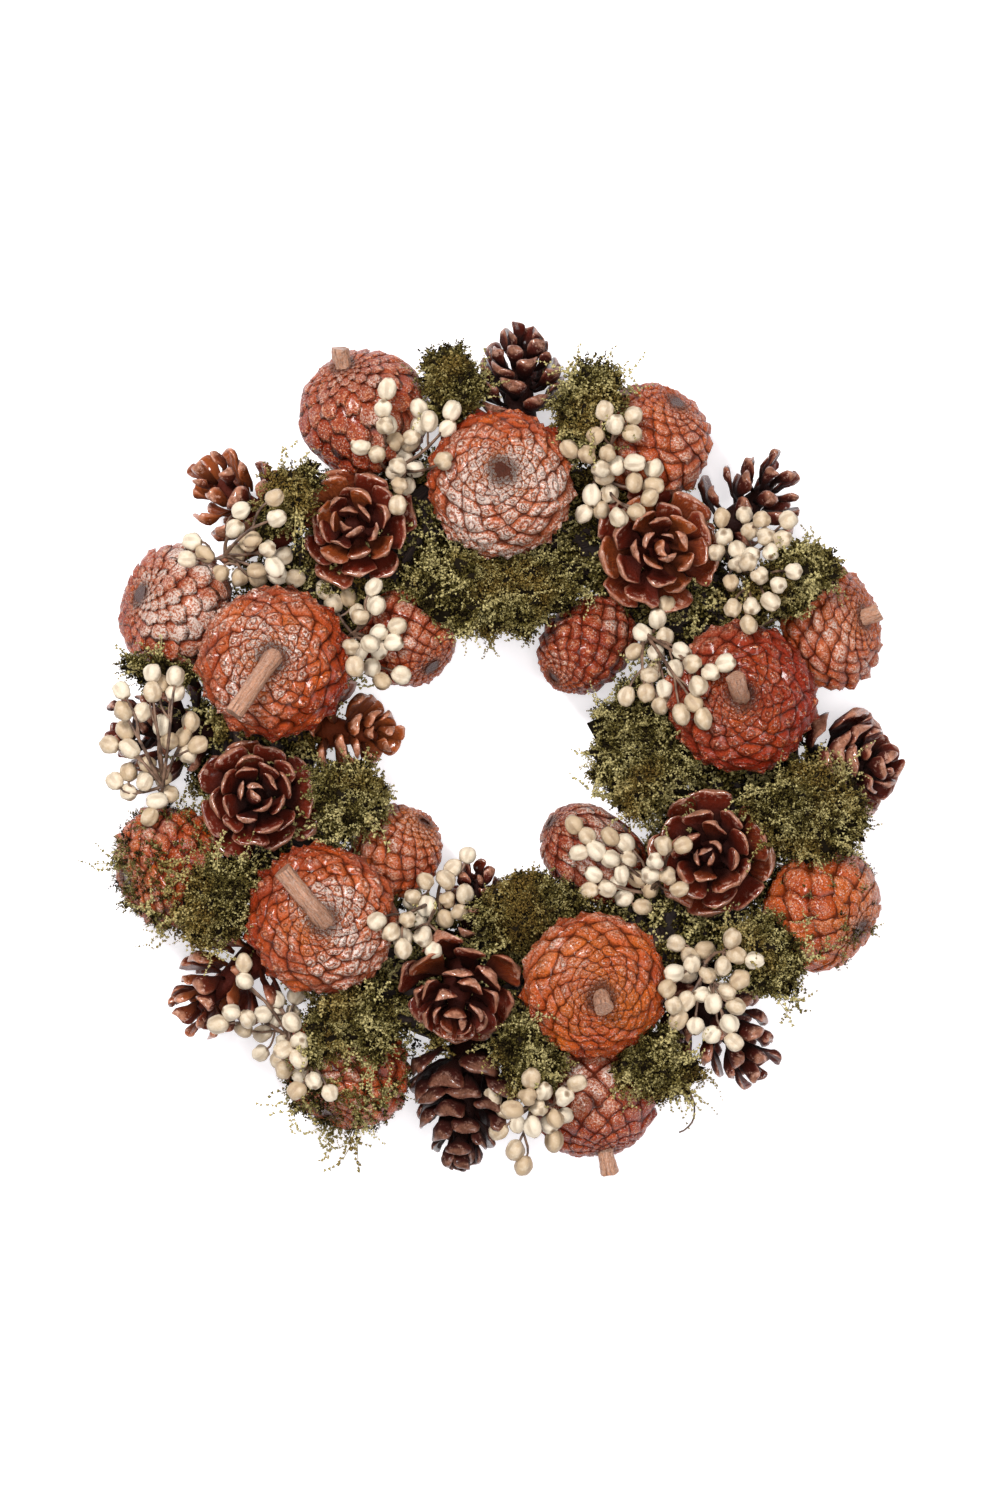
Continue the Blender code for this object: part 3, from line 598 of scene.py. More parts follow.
def varnish_finish():
    """Rust-orange stain under clear gloss, with painted shade in the seams and round the bosses, dry white
    spray on what stands proud and on one side, a painted sheen on that side, and painted glints.
    """
    rust = Finish("varnished_scales", Coat_Weight=0.32, Coat_Roughness=0.17, Specular_IOR_Level=0.12)
    where, crest, tint = rust.where(), rust.attribute("crest"), rust.attribute("tint")
    s, t, _ = rust.attribute("place", "Vector").axes()
    hub = (s * s + t * t).of("SQRT")
    fine = rust.noise(where, 1100.0, 3.0, 0.65)
    broad = rust.noise(where, 70.0, 2.0)
    climb = rust.attribute("climb")
    stain = rust.attribute("hue") + (1.0 - climb.of("ABSOLUTE")) * 0.25 + (tint - 0.5) * 0.35
    stain = (stain + (broad - 0.5) * 1.3 + (fine - 0.5) * 0.8).between(-0.2, 1.1)
    colour = stain.ramp((0.0, GOLD_RUST), (0.35, ORANGE), (1.0, RED))
    ring = hub.between(0.18, 0.30) * (1.0 - hub.between(0.30, 0.48)) * rust.attribute("bossed")
    crown = climb.between(1.95, 2.60)
    speckle = fine.between(0.42, 0.60)
    patches = rust.noise(where, 42.0, 2.0).between(0.34, 0.62) * 0.85 + 0.30
    # Spray frost, partly painted sheen: strongest on the given side of each cone and on the raised parts.
    dust_and_sheen = rust.attribute("frost") * patches * (crest.between(0.10, 0.60) * 0.7 + 0.3) * (
        speckle * 0.75 + 0.22) * (tint * 0.7 + 0.6) * (1.0 - ring * 0.6)
    proud = crest + (1.0 - rust.attribute("bossed")) * 0.20
    # Painted highlights: bright specks on the raised parts, where the varnish catches the light.
    highlight_specks = proud.between(0.35, 0.80) * rust.noise(where, 760.0, 2.0, 0.6).between(0.50, 0.66) * 0.80
    colour = colour.paint(DARK_RUST_AND_SEAM_SHADE, (1.0 - fine.between(0.32, 0.54)) * 0.50)
    dust_and_highlight = dust_and_sheen.ramp((0.0, RUST_HIGHLIGHT), (0.4, PINK_DUST_AND_SHEEN), (1.0, FROST_AND_GLINT_WHITE))
    # The spray frost with its painted sheen goes on, and so do the painted highlight specks.
    colour = colour.paint(dust_and_highlight, (dust_and_sheen + highlight_specks).of("MINIMUM", 0.90))
    # Painted highlights: tiny white glints of the varnish on what stands proud.
    glints = rust.noise(where, 1500.0, 1.0).between(0.60, 0.68) * proud.between(0.25, 0.60)
    colour = colour.paint(FROST_AND_GLINT_WHITE, glints * 0.60)
    # Painted shade in the groove round each boss.
    colour = colour.paint(DARK_RUST_AND_SEAM_SHADE, ring * 0.50)
    colour = colour.paint(CROWN_BROWN, crown * 0.65)
    # Painted shade in the seams between the scales, where each scale sinks lowest.
    colour = colour.paint(DARK_RUST_AND_SEAM_SHADE, (1.0 - crest.between(0.02, 0.27)) * 0.84)
    colour = colour.paint(SCAR_BROWN, rust.attribute("scar") * (fine * 0.8 + 0.3))
    spoke_x, spoke_y, _ = rust.attribute("spoke", "Vector").axes()
    cut_wood = rust.point(spoke_x * 2.6, spoke_y * 2.6, rust.attribute("along") * 1.6)
    fibres = rust.noise(cut_wood, 1.9, 4.0, 0.7)
    wood = rust.attribute("wood")
    bare = fibres.ramp((0.28, GREY_WOOD), (0.52, TAN_WOOD)).paint(FROST_AND_GLINT_WHITE, speckle * (fine - 0.3) * 0.9)
    rust.colour(colour.paint(bare, wood * 0.85))
    rust.roughness((fine * 0.25 + dust_and_sheen * 0.20 + 0.20) * (1.0 - wood) + wood * 0.75)
    grooves = rust.noise(rust.point((s + t) * 1.2, (s - t) * 7.0, tint * 9.0), 2.2, 3.0)
    rust.relief((grooves * 0.6 + fine * 1.3 - ring * 0.6) * (1.0 - wood) + fibres * wood * 1.5, 0.0011)
    return rust


def cone_place(node):
    """Where a packed cone stands, as (place, turn, radius, height, far end in the cone's own frame).

    Its foot is the flat face with the most corners and the largest of those. The far end is the next one.
    """
    bm = merged(node)
    bmesh.ops.dissolve_limit(bm, angle_limit=FLAT_ANGLE, verts=bm.verts[:], edges=bm.edges[:])
    flats = sorted(bm.faces, key=lambda f: (len(f.verts), f.calc_area()))
    foot, turn = flats[-1].calc_center_median(), (-flats[-1].normal).to_track_quat("Z", "Y")
    own = [turn.inverted() @ (v.co - foot) for v in bm.verts]
    levels = sorted((p.z for p in own), reverse=True)
    rows = [z for z in levels if sum(abs(z - other) < MERGE_DISTANCE for other in levels) >= LEVEL_ROW]
    height = rows[0] if rows and rows[0] > 0.5 * levels[0] else levels[0]
    radius = max(math.hypot(p.x, p.y) for p in own if p.z < 0.8 * height)
    end = turn.inverted() @ (flats[-2].calc_center_median() - foot)
    bm.free()
    return Matrix.Translation(foot) @ turn.to_matrix().to_4x4(), turn, radius, height, end


# How each closed cone looks: (kind of scale, spray frost with its painted sheen, the side that they are on, as
# seen from the front, redness)
CLOSED_CONES = {
    "front_1": ("tight", 2.60, (0.10, -0.35, 0.95), 0.45),
    "front_2": ("tight", 0.45, (-0.5, 0.45, 0.75), 1.00),
    "front_3": ("knobbed", 0.75, (-0.4, 0.5, 0.75), 0.28),
    "front_4": ("tight", 1.90, (0.4, 0.0, 0.85), 0.45),
    "front_5": ("tight", 1.90, (-0.6, 0.35, 0.75), 0.55),
    "outer_1": ("fine", 1.00, (0.3, -0.3, 0.9), 0.50),
    "outer_2": ("fine", 0.90, (0.3, -0.5, 0.8), 0.35),
    "outer_3": ("shield", 0.55, (0.5, 0.2, 0.8), 0.20),
    "outer_4": ("plate", 1.00, (-0.3, 0.5, 0.8), 0.85),
    "outer_5": ("fine", 0.70, (0.0, 0.0, 1.0), 0.45),
    "outer_6": ("fine", 0.70, (-0.5, 0.0, 0.8), 0.40),
    "outer_7": ("tile", 2.10, (0.3, 0.2, 0.9), 0.70),
    "outer_8": ("tile", 0.80, (0.3, 0.3, 0.9), 0.80),
    "inner_1": ("fine", 0.80, (0.0, 0.3, 1.0), 0.80),
    "inner_2": ("shield", 1.30, (-0.3, 0.3, 0.8), 1.20),
    "inner_3": ("fine", 0.80, (0.0, 0.4, 0.8), 0.35),
    "inner_4": ("plate", 0.90, (0.3, 0.2, 0.9), 0.70)}

# Each kind of scale: (its mesh, the spiral's climb from one to the next, how much of a boss it shows)
SCALE_KINDS = {
    "tight": (flat_scale(CLOSE_STEPS, TIGHT_CLIMB, 0.18, 0.09, 0.32), TIGHT_CLIMB, 1.0),
    "knobbed": (flat_scale(CLOSE_STEPS, KNOB_CLIMB, 0.16, 0.08, 0.20), KNOB_CLIMB, 0.6),
    "fine": (flat_scale(FEW_STEPS, FINE_CLIMB, 0.26, 0.14, 0.10), FINE_CLIMB, 0.25),
    "plate": (flat_scale(PLAIN_STEPS, PLATE_CLIMB, 0.22, 0.10, -0.12), PLATE_CLIMB, 0.0),
    "tile": (flat_scale(PLAIN_STEPS, TILE_CLIMB, 0.55, 0.40, -0.26), TILE_CLIMB, 0.0),
    "shield": (flat_scale(PLAIN_STEPS, SHIELD_CLIMB, 0.42, 0.26, -0.26), SHIELD_CLIMB, 0.0)}

closed_cones = closed_cone_tree(varnish_finish())
for seed, (spot, (kind, frost, side, hue)) in enumerate(CLOSED_CONES.items()):
    scale, climb, bossed = SCALE_KINDS[kind]
    place, turn, radius, height, end = cone_place("rust_cone_" + spot)
    stub = STALK_RADIUS
    if math.hypot(end.x, end.y) < STALK_RADIUS / 4:
        end.z = height + SCAR_HEIGHT
        stub = radius * SCAR_SHARE
    cone = grown("closed_cone_" + spot, closed_cones, scale, place, Height=height, End=tuple(end), Stub=stub,
                 Seed=seed, Frost=frost, Hue=hue, Bossed=bossed, Climb=climb,
                 Radius=radius / (1 + CREST_SHARE * SCALE_TOP), Scales=int((HIGHEST - LOWEST) / climb),
                 Frosted=tuple(turn.inverted() @ Vector(side)))
    set_in(cone, "rust_cone_" + spot)


# Open cones: dark red-brown, glued by their bases, with woody scales spread like the petals of a rose. A
# clear gloss runs over them, and each scale curls up to a thick, rounded lip, paler partly in its own wood and
# partly by a painted highlight.

LEAST_SCALES, SCALES_PER_RATIO = 9, 15
CORE_SHARE, CORE_TAPER = 0.30, 0.72
CORE_SIDES, CORE_ROWS, CORE_FOOT, CORE_TOP = 16, 4, 1.08, 0.3
LONG_SCALE, SHORT_SCALE, FINGER_LENGTH = 0.69, 0.34, 0.20
ROSE_SHUT, FINGERS_SHUT, WIDEST = 0.97, 0.80, 0.997
DARK_SCALE_AND_SHADE, RED_SCALE, AMBER_SCALE = (0.012, 0.002, 0.001), (0.122, 0.014, 0.006), (0.34, 0.075, 0.016)
PALE_LIP_HIGHLIGHT, GLINT = (0.55, 0.25, 0.15), (0.62, 0.36, 0.27)
# A scale's sections, in shares of its length: (how far out, half breadth, half thickness, lift of the face)
PETAL = ((0.00, 0.13, 0.055, 0.00), (0.25, 0.20, 0.050, 0.00), (0.48, 0.36, 0.055, 0.03),
         (0.68, 0.47, 0.080, 0.09), (0.82, 0.51, 0.120, 0.16), (0.93, 0.46, 0.145, 0.24),
         (1.00, 0.34, 0.130, 0.30), (1.04, 0.17, 0.080, 0.33))
PETAL_SIDES, PETAL_CUP = 12, 0.75
SCALE_WARP = 0.0060
TABLE_GAP = 0.0002


def woody_scale():
    """One open scale, along +Y with its inner face up: narrow at the root, broad and rounded at the lip."""
    bm = bmesh.new()
    rows, places = [], []
    for far, half, thick, lift in PETAL:
        row = []
        for j in range(PETAL_SIDES):
            around = math.tau * j / PETAL_SIDES
            x = half * math.cos(around)
            row.append(bm.verts.new((x, far, lift + thick * math.sin(around) + PETAL_CUP * x * x)))
            places.append((math.cos(around), far, math.sin(around)))
        rows.append(row)
    for lower, upper in zip(rows, rows[1:]):
        for j in range(PETAL_SIDES):
            k = (j + 1) % PETAL_SIDES
            bm.faces.new((lower[j], lower[k], upper[k], upper[j]))
    bm.faces.new(rows[0])
    bm.faces.new(rows[-1][::-1])
    bmesh.ops.recalc_face_normals(bm, faces=bm.faces[:])
    return marked(mesh_of(bm, "woody_scale"), place=places)


def open_cone_tree(finish):
    """Scales on a tapered core, one every golden angle, wide open at the base and nearly shut at the heart.

    A splayed cone has narrower scales, like fingers, that stay long and open up to the heart.
    """
    tree, size = new_tree("open_cone", {
        "Radius": 0.025, "Height": 0.042, "Scales": 34, "Amber": 0.3, "Splay": 0.0, "Widest": WIDEST,
        "Seed": 1})
    start, radius, height, seed = Wire(tree), size["Radius"], size["Height"], size["Seed"]
    here, number = start.node("GeometryNodeInputPosition"), start.node("GeometryNodeInputIndex")
    splay, share = size["Splay"], number / (size["Scales"] - 1.0)
    angle = number * GOLDEN_ANGLE + seed + start.random(-0.14, 0.14, seed + 3, number)
    core = CORE_SHARE * (1.0 - share ** 1.5 * CORE_TAPER)
    short = splay * FINGER_LENGTH + SHORT_SCALE
    tall = height - radius * short
    level = tall * (0.06 + share ** 0.9 * 0.94)
    long = ((short - LONG_SCALE) * share + LONG_SCALE) / size["Widest"]
    tip_out = (1.0 - share * (ROSE_SHUT + (FINGERS_SHUT - ROSE_SHUT) * splay)) ** 0.5
    opening = ((tip_out - core) / long).of("MINIMUM", size["Widest"]).of("ARCSINE")
    opening = opening + start.random(-0.16, 0.14, seed, number)
    core, length = core * radius, long * radius * start.random(0.84, 1.03, seed + 1, number)
    east, north = angle.of("COSINE"), angle.of("SINE")
    along = start.point(opening.of("SINE") * east, opening.of("SINE") * north, opening.of("COSINE"))
    inward = opening.of("COSINE") * -1.0
    inner = start.point(inward * east, inward * north, opening.of("SINE"))
    facing = start.node("FunctionNodeAxesToRotation", {"primary_axis": "Y", "secondary_axis": "Z"},
                        {"Primary Axis": along, "Secondary Axis": inner})
    broad = length * (1.0 - share ** 2.0 * 0.25) * (1.0 - splay * 0.42)
    roots = start.points_at(size["Scales"], start.point(core * east, core * north, level))
    scales = size["Geometry"].copied_to(roots, Rotation=facing, Scale=start.point(broad, length, length))
    scales = scales.tinted(seed + 2, number).real()
    scales = scales.moved((here + start.point(seed, 0, 0)).wobble(110.0, 1.0) * SCALE_WARP)
    core_body = start.node("GeometryNodeMeshCone", values={
        "Vertices": CORE_SIDES, "Side Segments": CORE_ROWS, "Radius Bottom": radius * CORE_SHARE * CORE_FOOT,
        "Radius Top": radius * CORE_SHARE * CORE_TOP, "Depth": tall})
    end_tree(scales.joined(core_body).stored("amber", size["Amber"]), finish)
    return tree


def chestnut_finish():
    """Dark chestnut wood under gloss: red-brown faces, roots and undersides darkened nearly black as painted
    shade, a pale lip on each scale that is partly paler wood and partly a painted highlight, and painted
    glints.
    """
    brown = Finish("glossed_chestnut", Coat_Roughness=0.12, Specular_IOR_Level=0.12)
    where, tint, amber = brown.where(), brown.attribute("tint"), brown.attribute("amber")
    across, far, side = brown.attribute("place", "Vector").axes()
    fibres = brown.noise(brown.point(across * 8.0, far * 1.5, tint * 11.0), 2.4, 3.0, 0.6)
    fine = brown.noise(where, 800.0, 3.0, 0.6)
    warm = (tint * 0.8 + amber + (fibres - 0.5)).between(0.55, 1.35)
    colour = warm.ramp((0.0, RED_SCALE), (1.0, AMBER_SCALE))
    # Painted shade: the roots of the scales, deep in the cone, and their undersides are darkened.
    colour = colour.paint(DARK_SCALE_AND_SHADE, (1.0 - far.between(0.35, 0.92)) * (0.95 - amber * 0.55))
    colour = colour.paint(DARK_SCALE_AND_SHADE, (1.0 - side.between(-0.9, 0.1)) * 0.55)
    gloom = (amber * -1.0).of("MAXIMUM", 0.0)
    colour = colour.paint(DARK_SCALE_AND_SHADE, gloom)
    # The pale lip: partly the scale end's own paler wood, partly a painted highlight on its rim and edges.
    lip = far.between(0.92, 1.03) + across.of("ABSOLUTE").between(0.86, 1.0) * far.between(0.55, 0.85) * 0.7
    colour = colour.paint(PALE_LIP_HIGHLIGHT, (lip * (fine * 1.5 - 0.15)).of("MINIMUM", 0.75) * (1.0 - gloom))
    # Painted highlights: small glints of the gloss on the scale faces.
    glint = brown.noise(where, 420.0, 3.0, 0.7).between(0.54, 0.64) * far.between(0.70, 0.92)
    colour = colour.paint(GLINT, glint * 0.60 * (1.0 - gloom))
    brown.colour(colour)
    varnished = far.between(0.45, 0.85) * side.between(-0.8, 0.0)
    brown.coat(varnished * 0.80)
    brown.roughness(fine * 0.25 + 0.55 - varnished * 0.35)
    brown.relief(fibres * 0.7 + fine * 0.8, 0.0009)
    return brown


# How each open cone looks: (how amber, or below 0 how dark; how splayed; the sine of its widest opening)
OPEN_CONES = {
    "front_1": (0.38, 0.0, WIDEST), "front_2": (0.05, 0.0, WIDEST), "front_3": (0.15, 0.1, WIDEST),
    "front_4": (-0.05, 0.0, WIDEST), "front_5": (0.30, 0.0, WIDEST), "outer_1": (-0.40, 0.35, 0.96),
    "outer_2": (-0.30, 1.0, WIDEST), "outer_3": (-0.12, 0.0, 0.94), "outer_4": (-0.15, 0.8, WIDEST),
    "outer_5": (-0.65, 0.0, 0.93), "outer_6": (0.60, 0.7, WIDEST), "outer_7": (-0.20, 0.9, WIDEST),
    "outer_8": (0.65, 0.8, WIDEST), "inner_1": (-0.10, 0.8, WIDEST), "inner_2": (0.90, 0.4, WIDEST)}

open_cones = open_cone_tree(chestnut_finish())
petal = woody_scale()
for seed, (spot, (amber, splay, widest)) in enumerate(OPEN_CONES.items()):
    place, _, radius, height, _ = cone_place("brown_cone_" + spot)
    count = int((LEAST_SCALES + SCALES_PER_RATIO * height / radius) * (1 - 0.3 * splay))
    cone = grown("open_cone_" + spot, open_cones, petal, place, Radius=radius, Height=height, Amber=amber,
                 Seed=seed, Splay=splay, Widest=widest, Scales=count)
    for vert in cone.data.vertices:
        vert.co.z = max(vert.co.z, TABLE_GAP)
    set_in(cone, "brown_cone_" + spot)


# Moss: tufts of dried branching moss, dyed olive, pressed into the gaps. Each is a cushion of short sprigs
# with tiny beaded leaves, painted dark inside as painted shade and bright at the tips, and a few longer wisps
# stand out of it. Loose bits of it cling to the vines between the cones.

SPRIG_LENGTH = 0.0080
# How sprigs and wisps grow: (length, stems, leaves on a stem, size of a leaf, how far it bends over)
SPRIG, WISP = (SPRIG_LENGTH, 3, 10, 0.00068, 0.0), (0.022, 3, 18, 0.00085, 0.9)
SPRIGS_PER_AREA, LOOSE_PER_AREA, WISPS_PER_AREA = 173000, 45000, 12000
LOOSE_STATIONS = 18
HEAP_WIDTH, HEAP_HEIGHT, HEAP_SINK = 1.45, 1.4, 0.1
LOOSE_SEED, CONE_MOSS_SEED = 77, 90
# The cones that moss has grown over, with its sprigs to the square metre
MOSSY_CONES = {"outer_5": 92000, "outer_6": 78000, "outer_3": 12000}
WISP_SHARE = 0.062
TUFT_SINK = 0.0034
MOSS_HEART_SHADE, DARK_MOSS_AND_SHADE = (0.008, 0.005, 0.002), (0.014, 0.009, 0.002)
OLIVE, BRIGHT_MOSS, GOLDEN_MOSS = (0.114, 0.088, 0.021), (0.45, 0.380, 0.165), (0.26, 0.155, 0.035)


def any_way(draw, lowest=-1):
    return Vector((draw.uniform(-1, 1), draw.uniform(-1, 1), draw.uniform(lowest, 1)))


def add_leaf(bm, centre, size, draw):
    """One leaf: a bead of four faces, turned at random."""
    turn = any_way(draw).to_track_quat("Z", "Y")
    ways = [Vector(w) * size for w in ((1, 0, -0.5), (-0.5, 0.87, -0.5), (-0.5, -0.87, -0.5), (0, 0, 1.4))]
    a, b, c, peak = [bm.verts.new(centre + turn @ way) for way in ways]
    for corners in ((a, b, peak), (b, c, peak), (c, a, peak), (c, b, a)):
        bm.faces.new(corners)


def moss_sprig(name, longest, stems, leaves, leaf_size, bend):
    """A sprig along +Z: thin stems that fork from one root and bend over, each with beads to both sides."""
    draw = random.Random(name)
    bm = bmesh.new()
    for stem in range(stems):
        bearing = math.tau * (stem + draw.random() * 0.6) / stems
        tilt = draw.uniform(0.25, 0.8) / (1 + 2 * bend)
        way = Vector((math.sin(tilt) * math.cos(bearing), math.sin(tilt) * math.sin(bearing), math.cos(tilt)))
        sag = Vector((draw.uniform(-1, 1), draw.uniform(-1, 1), -0.2)) * bend
        length = longest * draw.uniform(0.65, 1.0)
        side = way.orthogonal().normalized() * leaf_size * 0.28
        spokes = (side, way.cross(side), -side - way.cross(side))
        ring = [bm.verts.new(out) for out in spokes]
        for leaf in range(leaves):
            share = (leaf + 1) / leaves
            spot = (way + sag * share * share * 0.6) * length * share
            if leaf % 4 == 3 or leaf == leaves - 1:
                onward = [bm.verts.new(spot + out * (1.1 - share)) for out in spokes]
                for j in range(3):
                    k = (j + 1) % 3
                    bm.faces.new((ring[j], ring[k], onward[k], onward[j]))
                ring = onward
            swing = any_way(draw, -0.4) * leaf_size * 2.1
            size = leaf_size * draw.uniform(0.7, 1.2) * (1.1 - 0.35 * share)
            add_leaf(bm, spot + swing * (1.25 - share), size, draw)
    heights = [min(1.2, v.co.length / SPRIG_LENGTH) for v in bm.verts]
    return marked(mesh_of(bm, name), tip=heights, leaf=[1.0] * len(heights))


def moss_tree(finish):
    """Sprigs and a few wisps all over a surface, which is sunk to a heart for them, or left out. The heart is
    painted nearly black as painted shade.
    """
    tree, size = new_tree("moss_tuft", {
        "Sprig": None, "Wisp": None, "Density": float(SPRIGS_PER_AREA), "Wispy": WISP_SHARE,
        "Sink": TUFT_SINK, "Least": 0.5, "Most": 1.0, "Heartless": 0, "Seed": 1})
    start, seed = Wire(tree), size["Seed"]
    number, here = start.node("GeometryNodeInputIndex"), start.node("GeometryNodeInputPosition")
    clumps = start.noise(here + start.point(seed, 0, 0), 120.0, 1.0).between(0.32, 0.62)
    outward = start.node("GeometryNodeInputNormal")
    skin = size["Geometry"].moved(outward * (size["Sink"] * -1.0))
    _, _, upward = outward.axes()
    crowd = size["Density"] * (clumps * 0.35 + 0.65) * (upward.between(-0.6, 0.2) * 0.94 + 0.06)
    spots = start.node("GeometryNodeDistributePointsOnFaces", values={
        "Mesh": skin, "Density": crowd, "Seed": seed})
    stray = start.node("FunctionNodeRandomValue", {"data_type": "FLOAT_VECTOR"}, {
        "Min": (-0.9, -0.9, -0.4), "Max": (0.9, 0.9, 0.7), "Seed": seed})
    turned = (spots["Normal"] + stray).standing(seed + 1, number)
    chance = start.random(0.0, 1.0, seed + 5, number)
    whole = [start.node("GeometryNodeDeleteGeometry", values={
        "Geometry": skin, "Selection": size["Heartless"].of("GREATER_THAN", 0.5)})]
    for kind, chosen, reach in (
            ("Sprig", chance.of("GREATER_THAN", size["Wispy"]),
             start.random(size["Least"], size["Most"], seed + 2, number) * (clumps * 0.5 + 0.7)),
            ("Wisp", chance.of("LESS_THAN", size["Wispy"]), start.random(0.5, 1.2, seed + 6, number))):
        stems = size[kind].shape().copied_to(spots, Selection=chosen, Scale=reach, Rotation=turned)
        whole.append(stems.tinted(seed + 3, number))
    x, y, z = here.axes()
    end_tree(whole[0].joined(*whole[1:]).real().put_at(x, y, z.of("MAXIMUM", TABLE_GAP)), finish)
    return tree


def moss_finish():
    """Dry dyed moss: olive along the stems, yellow-green at the tips, in drifts, with painted shade at the
    roots and on the heart.
    """
    moss = Finish("dyed_moss", Roughness=0.85, Specular_IOR_Level=0.08)
    tip, tint, where = moss.attribute("tip"), moss.attribute("tint"), moss.where()
    drift = moss.noise(where, 110.0, 2.0)
    grain = moss.noise(where, 1100.0, 1.0)
    # Painted shade: the sprigs darken towards their roots, deep in the tuft. The drifts and grain are the
    # moss's own tone.
    light = tip * 0.75 + (tint - 0.5) * 0.55 + (drift - 0.5) * 1.3 + (grain - 0.5) * 1.1
    leaves = light.ramp((0.12, DARK_MOSS_AND_SHADE), (0.52, OLIVE), (1.0, BRIGHT_MOSS))
    gold = moss.noise(where, 35.0, 1.0).between(0.48, 0.70) * grain.between(0.3, 0.6)
    leaves = leaves.paint(GOLDEN_MOSS, gold * 0.6)
    # Painted shade: the sunk heart under the sprigs is nearly black.
    moss.colour(leaves.paint(MOSS_HEART_SHADE, 1.0 - moss.attribute("leaf")))
    return moss


def grow_moss(name, surface, seed, **sizes):
    """Moss on a surface, made with its own kind of sprig and of wisp."""
    sprig = linked("moss_sprig", moss_sprig(name, *SPRIG))
    wisp = linked("moss_wisp", moss_sprig(name + "_wisp", *WISP))
    tuft = grown(name, tufts, surface, Sprig=sprig, Wisp=wisp, Seed=seed, **sizes)
    bpy.data.objects.remove(sprig)
    bpy.data.objects.remove(wisp)
    return tuft


tufts = moss_tree(moss_finish())
for number in range(1, 1 + sum(node.startswith("moss_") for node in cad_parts)):
    surface = mesh_of(merged(f"moss_{number}"), "tuft_surface")
    set_in(grow_moss(f"moss_tuft_{number}", surface, number), f"moss_{number}")

loose_moss = {}
for first in range(0, HEART_STATIONS, LOOSE_STATIONS):
    name = f"loose_moss_{first // LOOSE_STATIONS + 1}"
    loose_moss[name] = (LOOSE_PER_AREA, 0.0, first, first + LOOSE_STATIONS)
loose_moss["stray_wisps"] = (WISPS_PER_AREA, 1.0, 0, HEART_STATIONS)
for seed, (name, (density, wispy, first, last)) in enumerate(loose_moss.items(), LOOSE_SEED):
    heap = vine_heart(ring_radius, HEAP_WIDTH * ring_half_width, HEAP_HEIGHT * ring_height, ring_level,
                      first, last)
    heap.transform(Matrix.Translation(ring_centre))
    bits = grow_moss(name, heap, seed, Density=float(density), Wispy=wispy, Least=0.8, Most=1.5, Heartless=1,
                     Sink=HEAP_SINK * ring_half_width)
    set_in(bits)

for seed, (spot, density) in enumerate(MOSSY_CONES.items(), CONE_MOSS_SEED):
    surface = mesh_of(merged("rust_cone_" + spot), "mossy_cone")
    bits = grow_moss("cone_moss_" + spot, surface, seed, Density=float(density), Least=0.3, Most=0.8,
                     Heartless=1, Sink=0.0)
    set_in(bits)


# Berry sprays: ivory wax berries on thin dry twigs that fan out from a stalk tucked in between the cones. The
# berries are slightly lobed, sit in pairs, and lie in clusters on the cones and the moss.

BERRY_RADIUS = 0.0038
BERRY_SEGMENTS, BERRY_RINGS, BERRY_GIRTH = 18, 9, 0.96
LOBES, LOBE_DEPTH, BERRY_LENGTH = 3, 0.27, 1.14
TWIG_STATIONS, TWIG_SIDES = 6, 5
TWIG_THICKNESS, STALK_THICKNESS = 0.00050, 0.0012
TWIG_CROOKS, BERRY_DENTS = 0.0014, 0.0016
TWIG_BOW, TWIG_ARCH, TWIG_FLARE, STALK_TAPER = 0.003, 0.2, 1.7, 0.8
FORK_SHARE, FORK_STATION = 0.45, 3
TWIN_CHANCES, TWIN_TRIES, TWIN_GAP, BERRY_GAP = (0.95, 0.65, 0.30), 14, (1.75, 2.15), 1.7
TWIN_LEVELS, TWIN_RISE = (-0.7, 0.3), 1.2
REST_REACHES, REST_SIDES = (0, 0.55, 0.9), 6
SIGHT, SURE_CORNERS, LEVEL_FACE = 0.3, 10, 0.9999
IVORY, CREAM, SCORCH = (0.63, 0.540, 0.415), (0.42, 0.305, 0.19), (0.13, 0.07, 0.03)
SEAM_SHADE_TAN, TWIG_DARK, TWIG_PALE = (0.17, 0.090, 0.042), (0.045, 0.024, 0.016), (0.24, 0.140, 0.090)


def wax_berry():
    """A berry with its stem end at -Z: an oval ball with three soft lobes."""
    bm = bmesh.new()
    bmesh.ops.create_uvsphere(bm, u_segments=BERRY_SEGMENTS, v_segments=BERRY_RINGS, radius=1)
    poles, seams = [], []
    for vert in bm.verts:
        poles.append(-vert.co.z)
        bearing = math.atan2(vert.co.y, vert.co.x)
        seams.append(max(0, math.cos(LOBES * bearing)) ** 4 * (1 - vert.co.z**2) ** 0.5)
        vert.co *= (1 - LOBE_DEPTH * seams[-1]) * BERRY_RADIUS * BERRY_GIRTH
        vert.co.z *= BERRY_LENGTH
    return marked(mesh_of(bm, "wax_berry"), pole=poles, seam=seams)


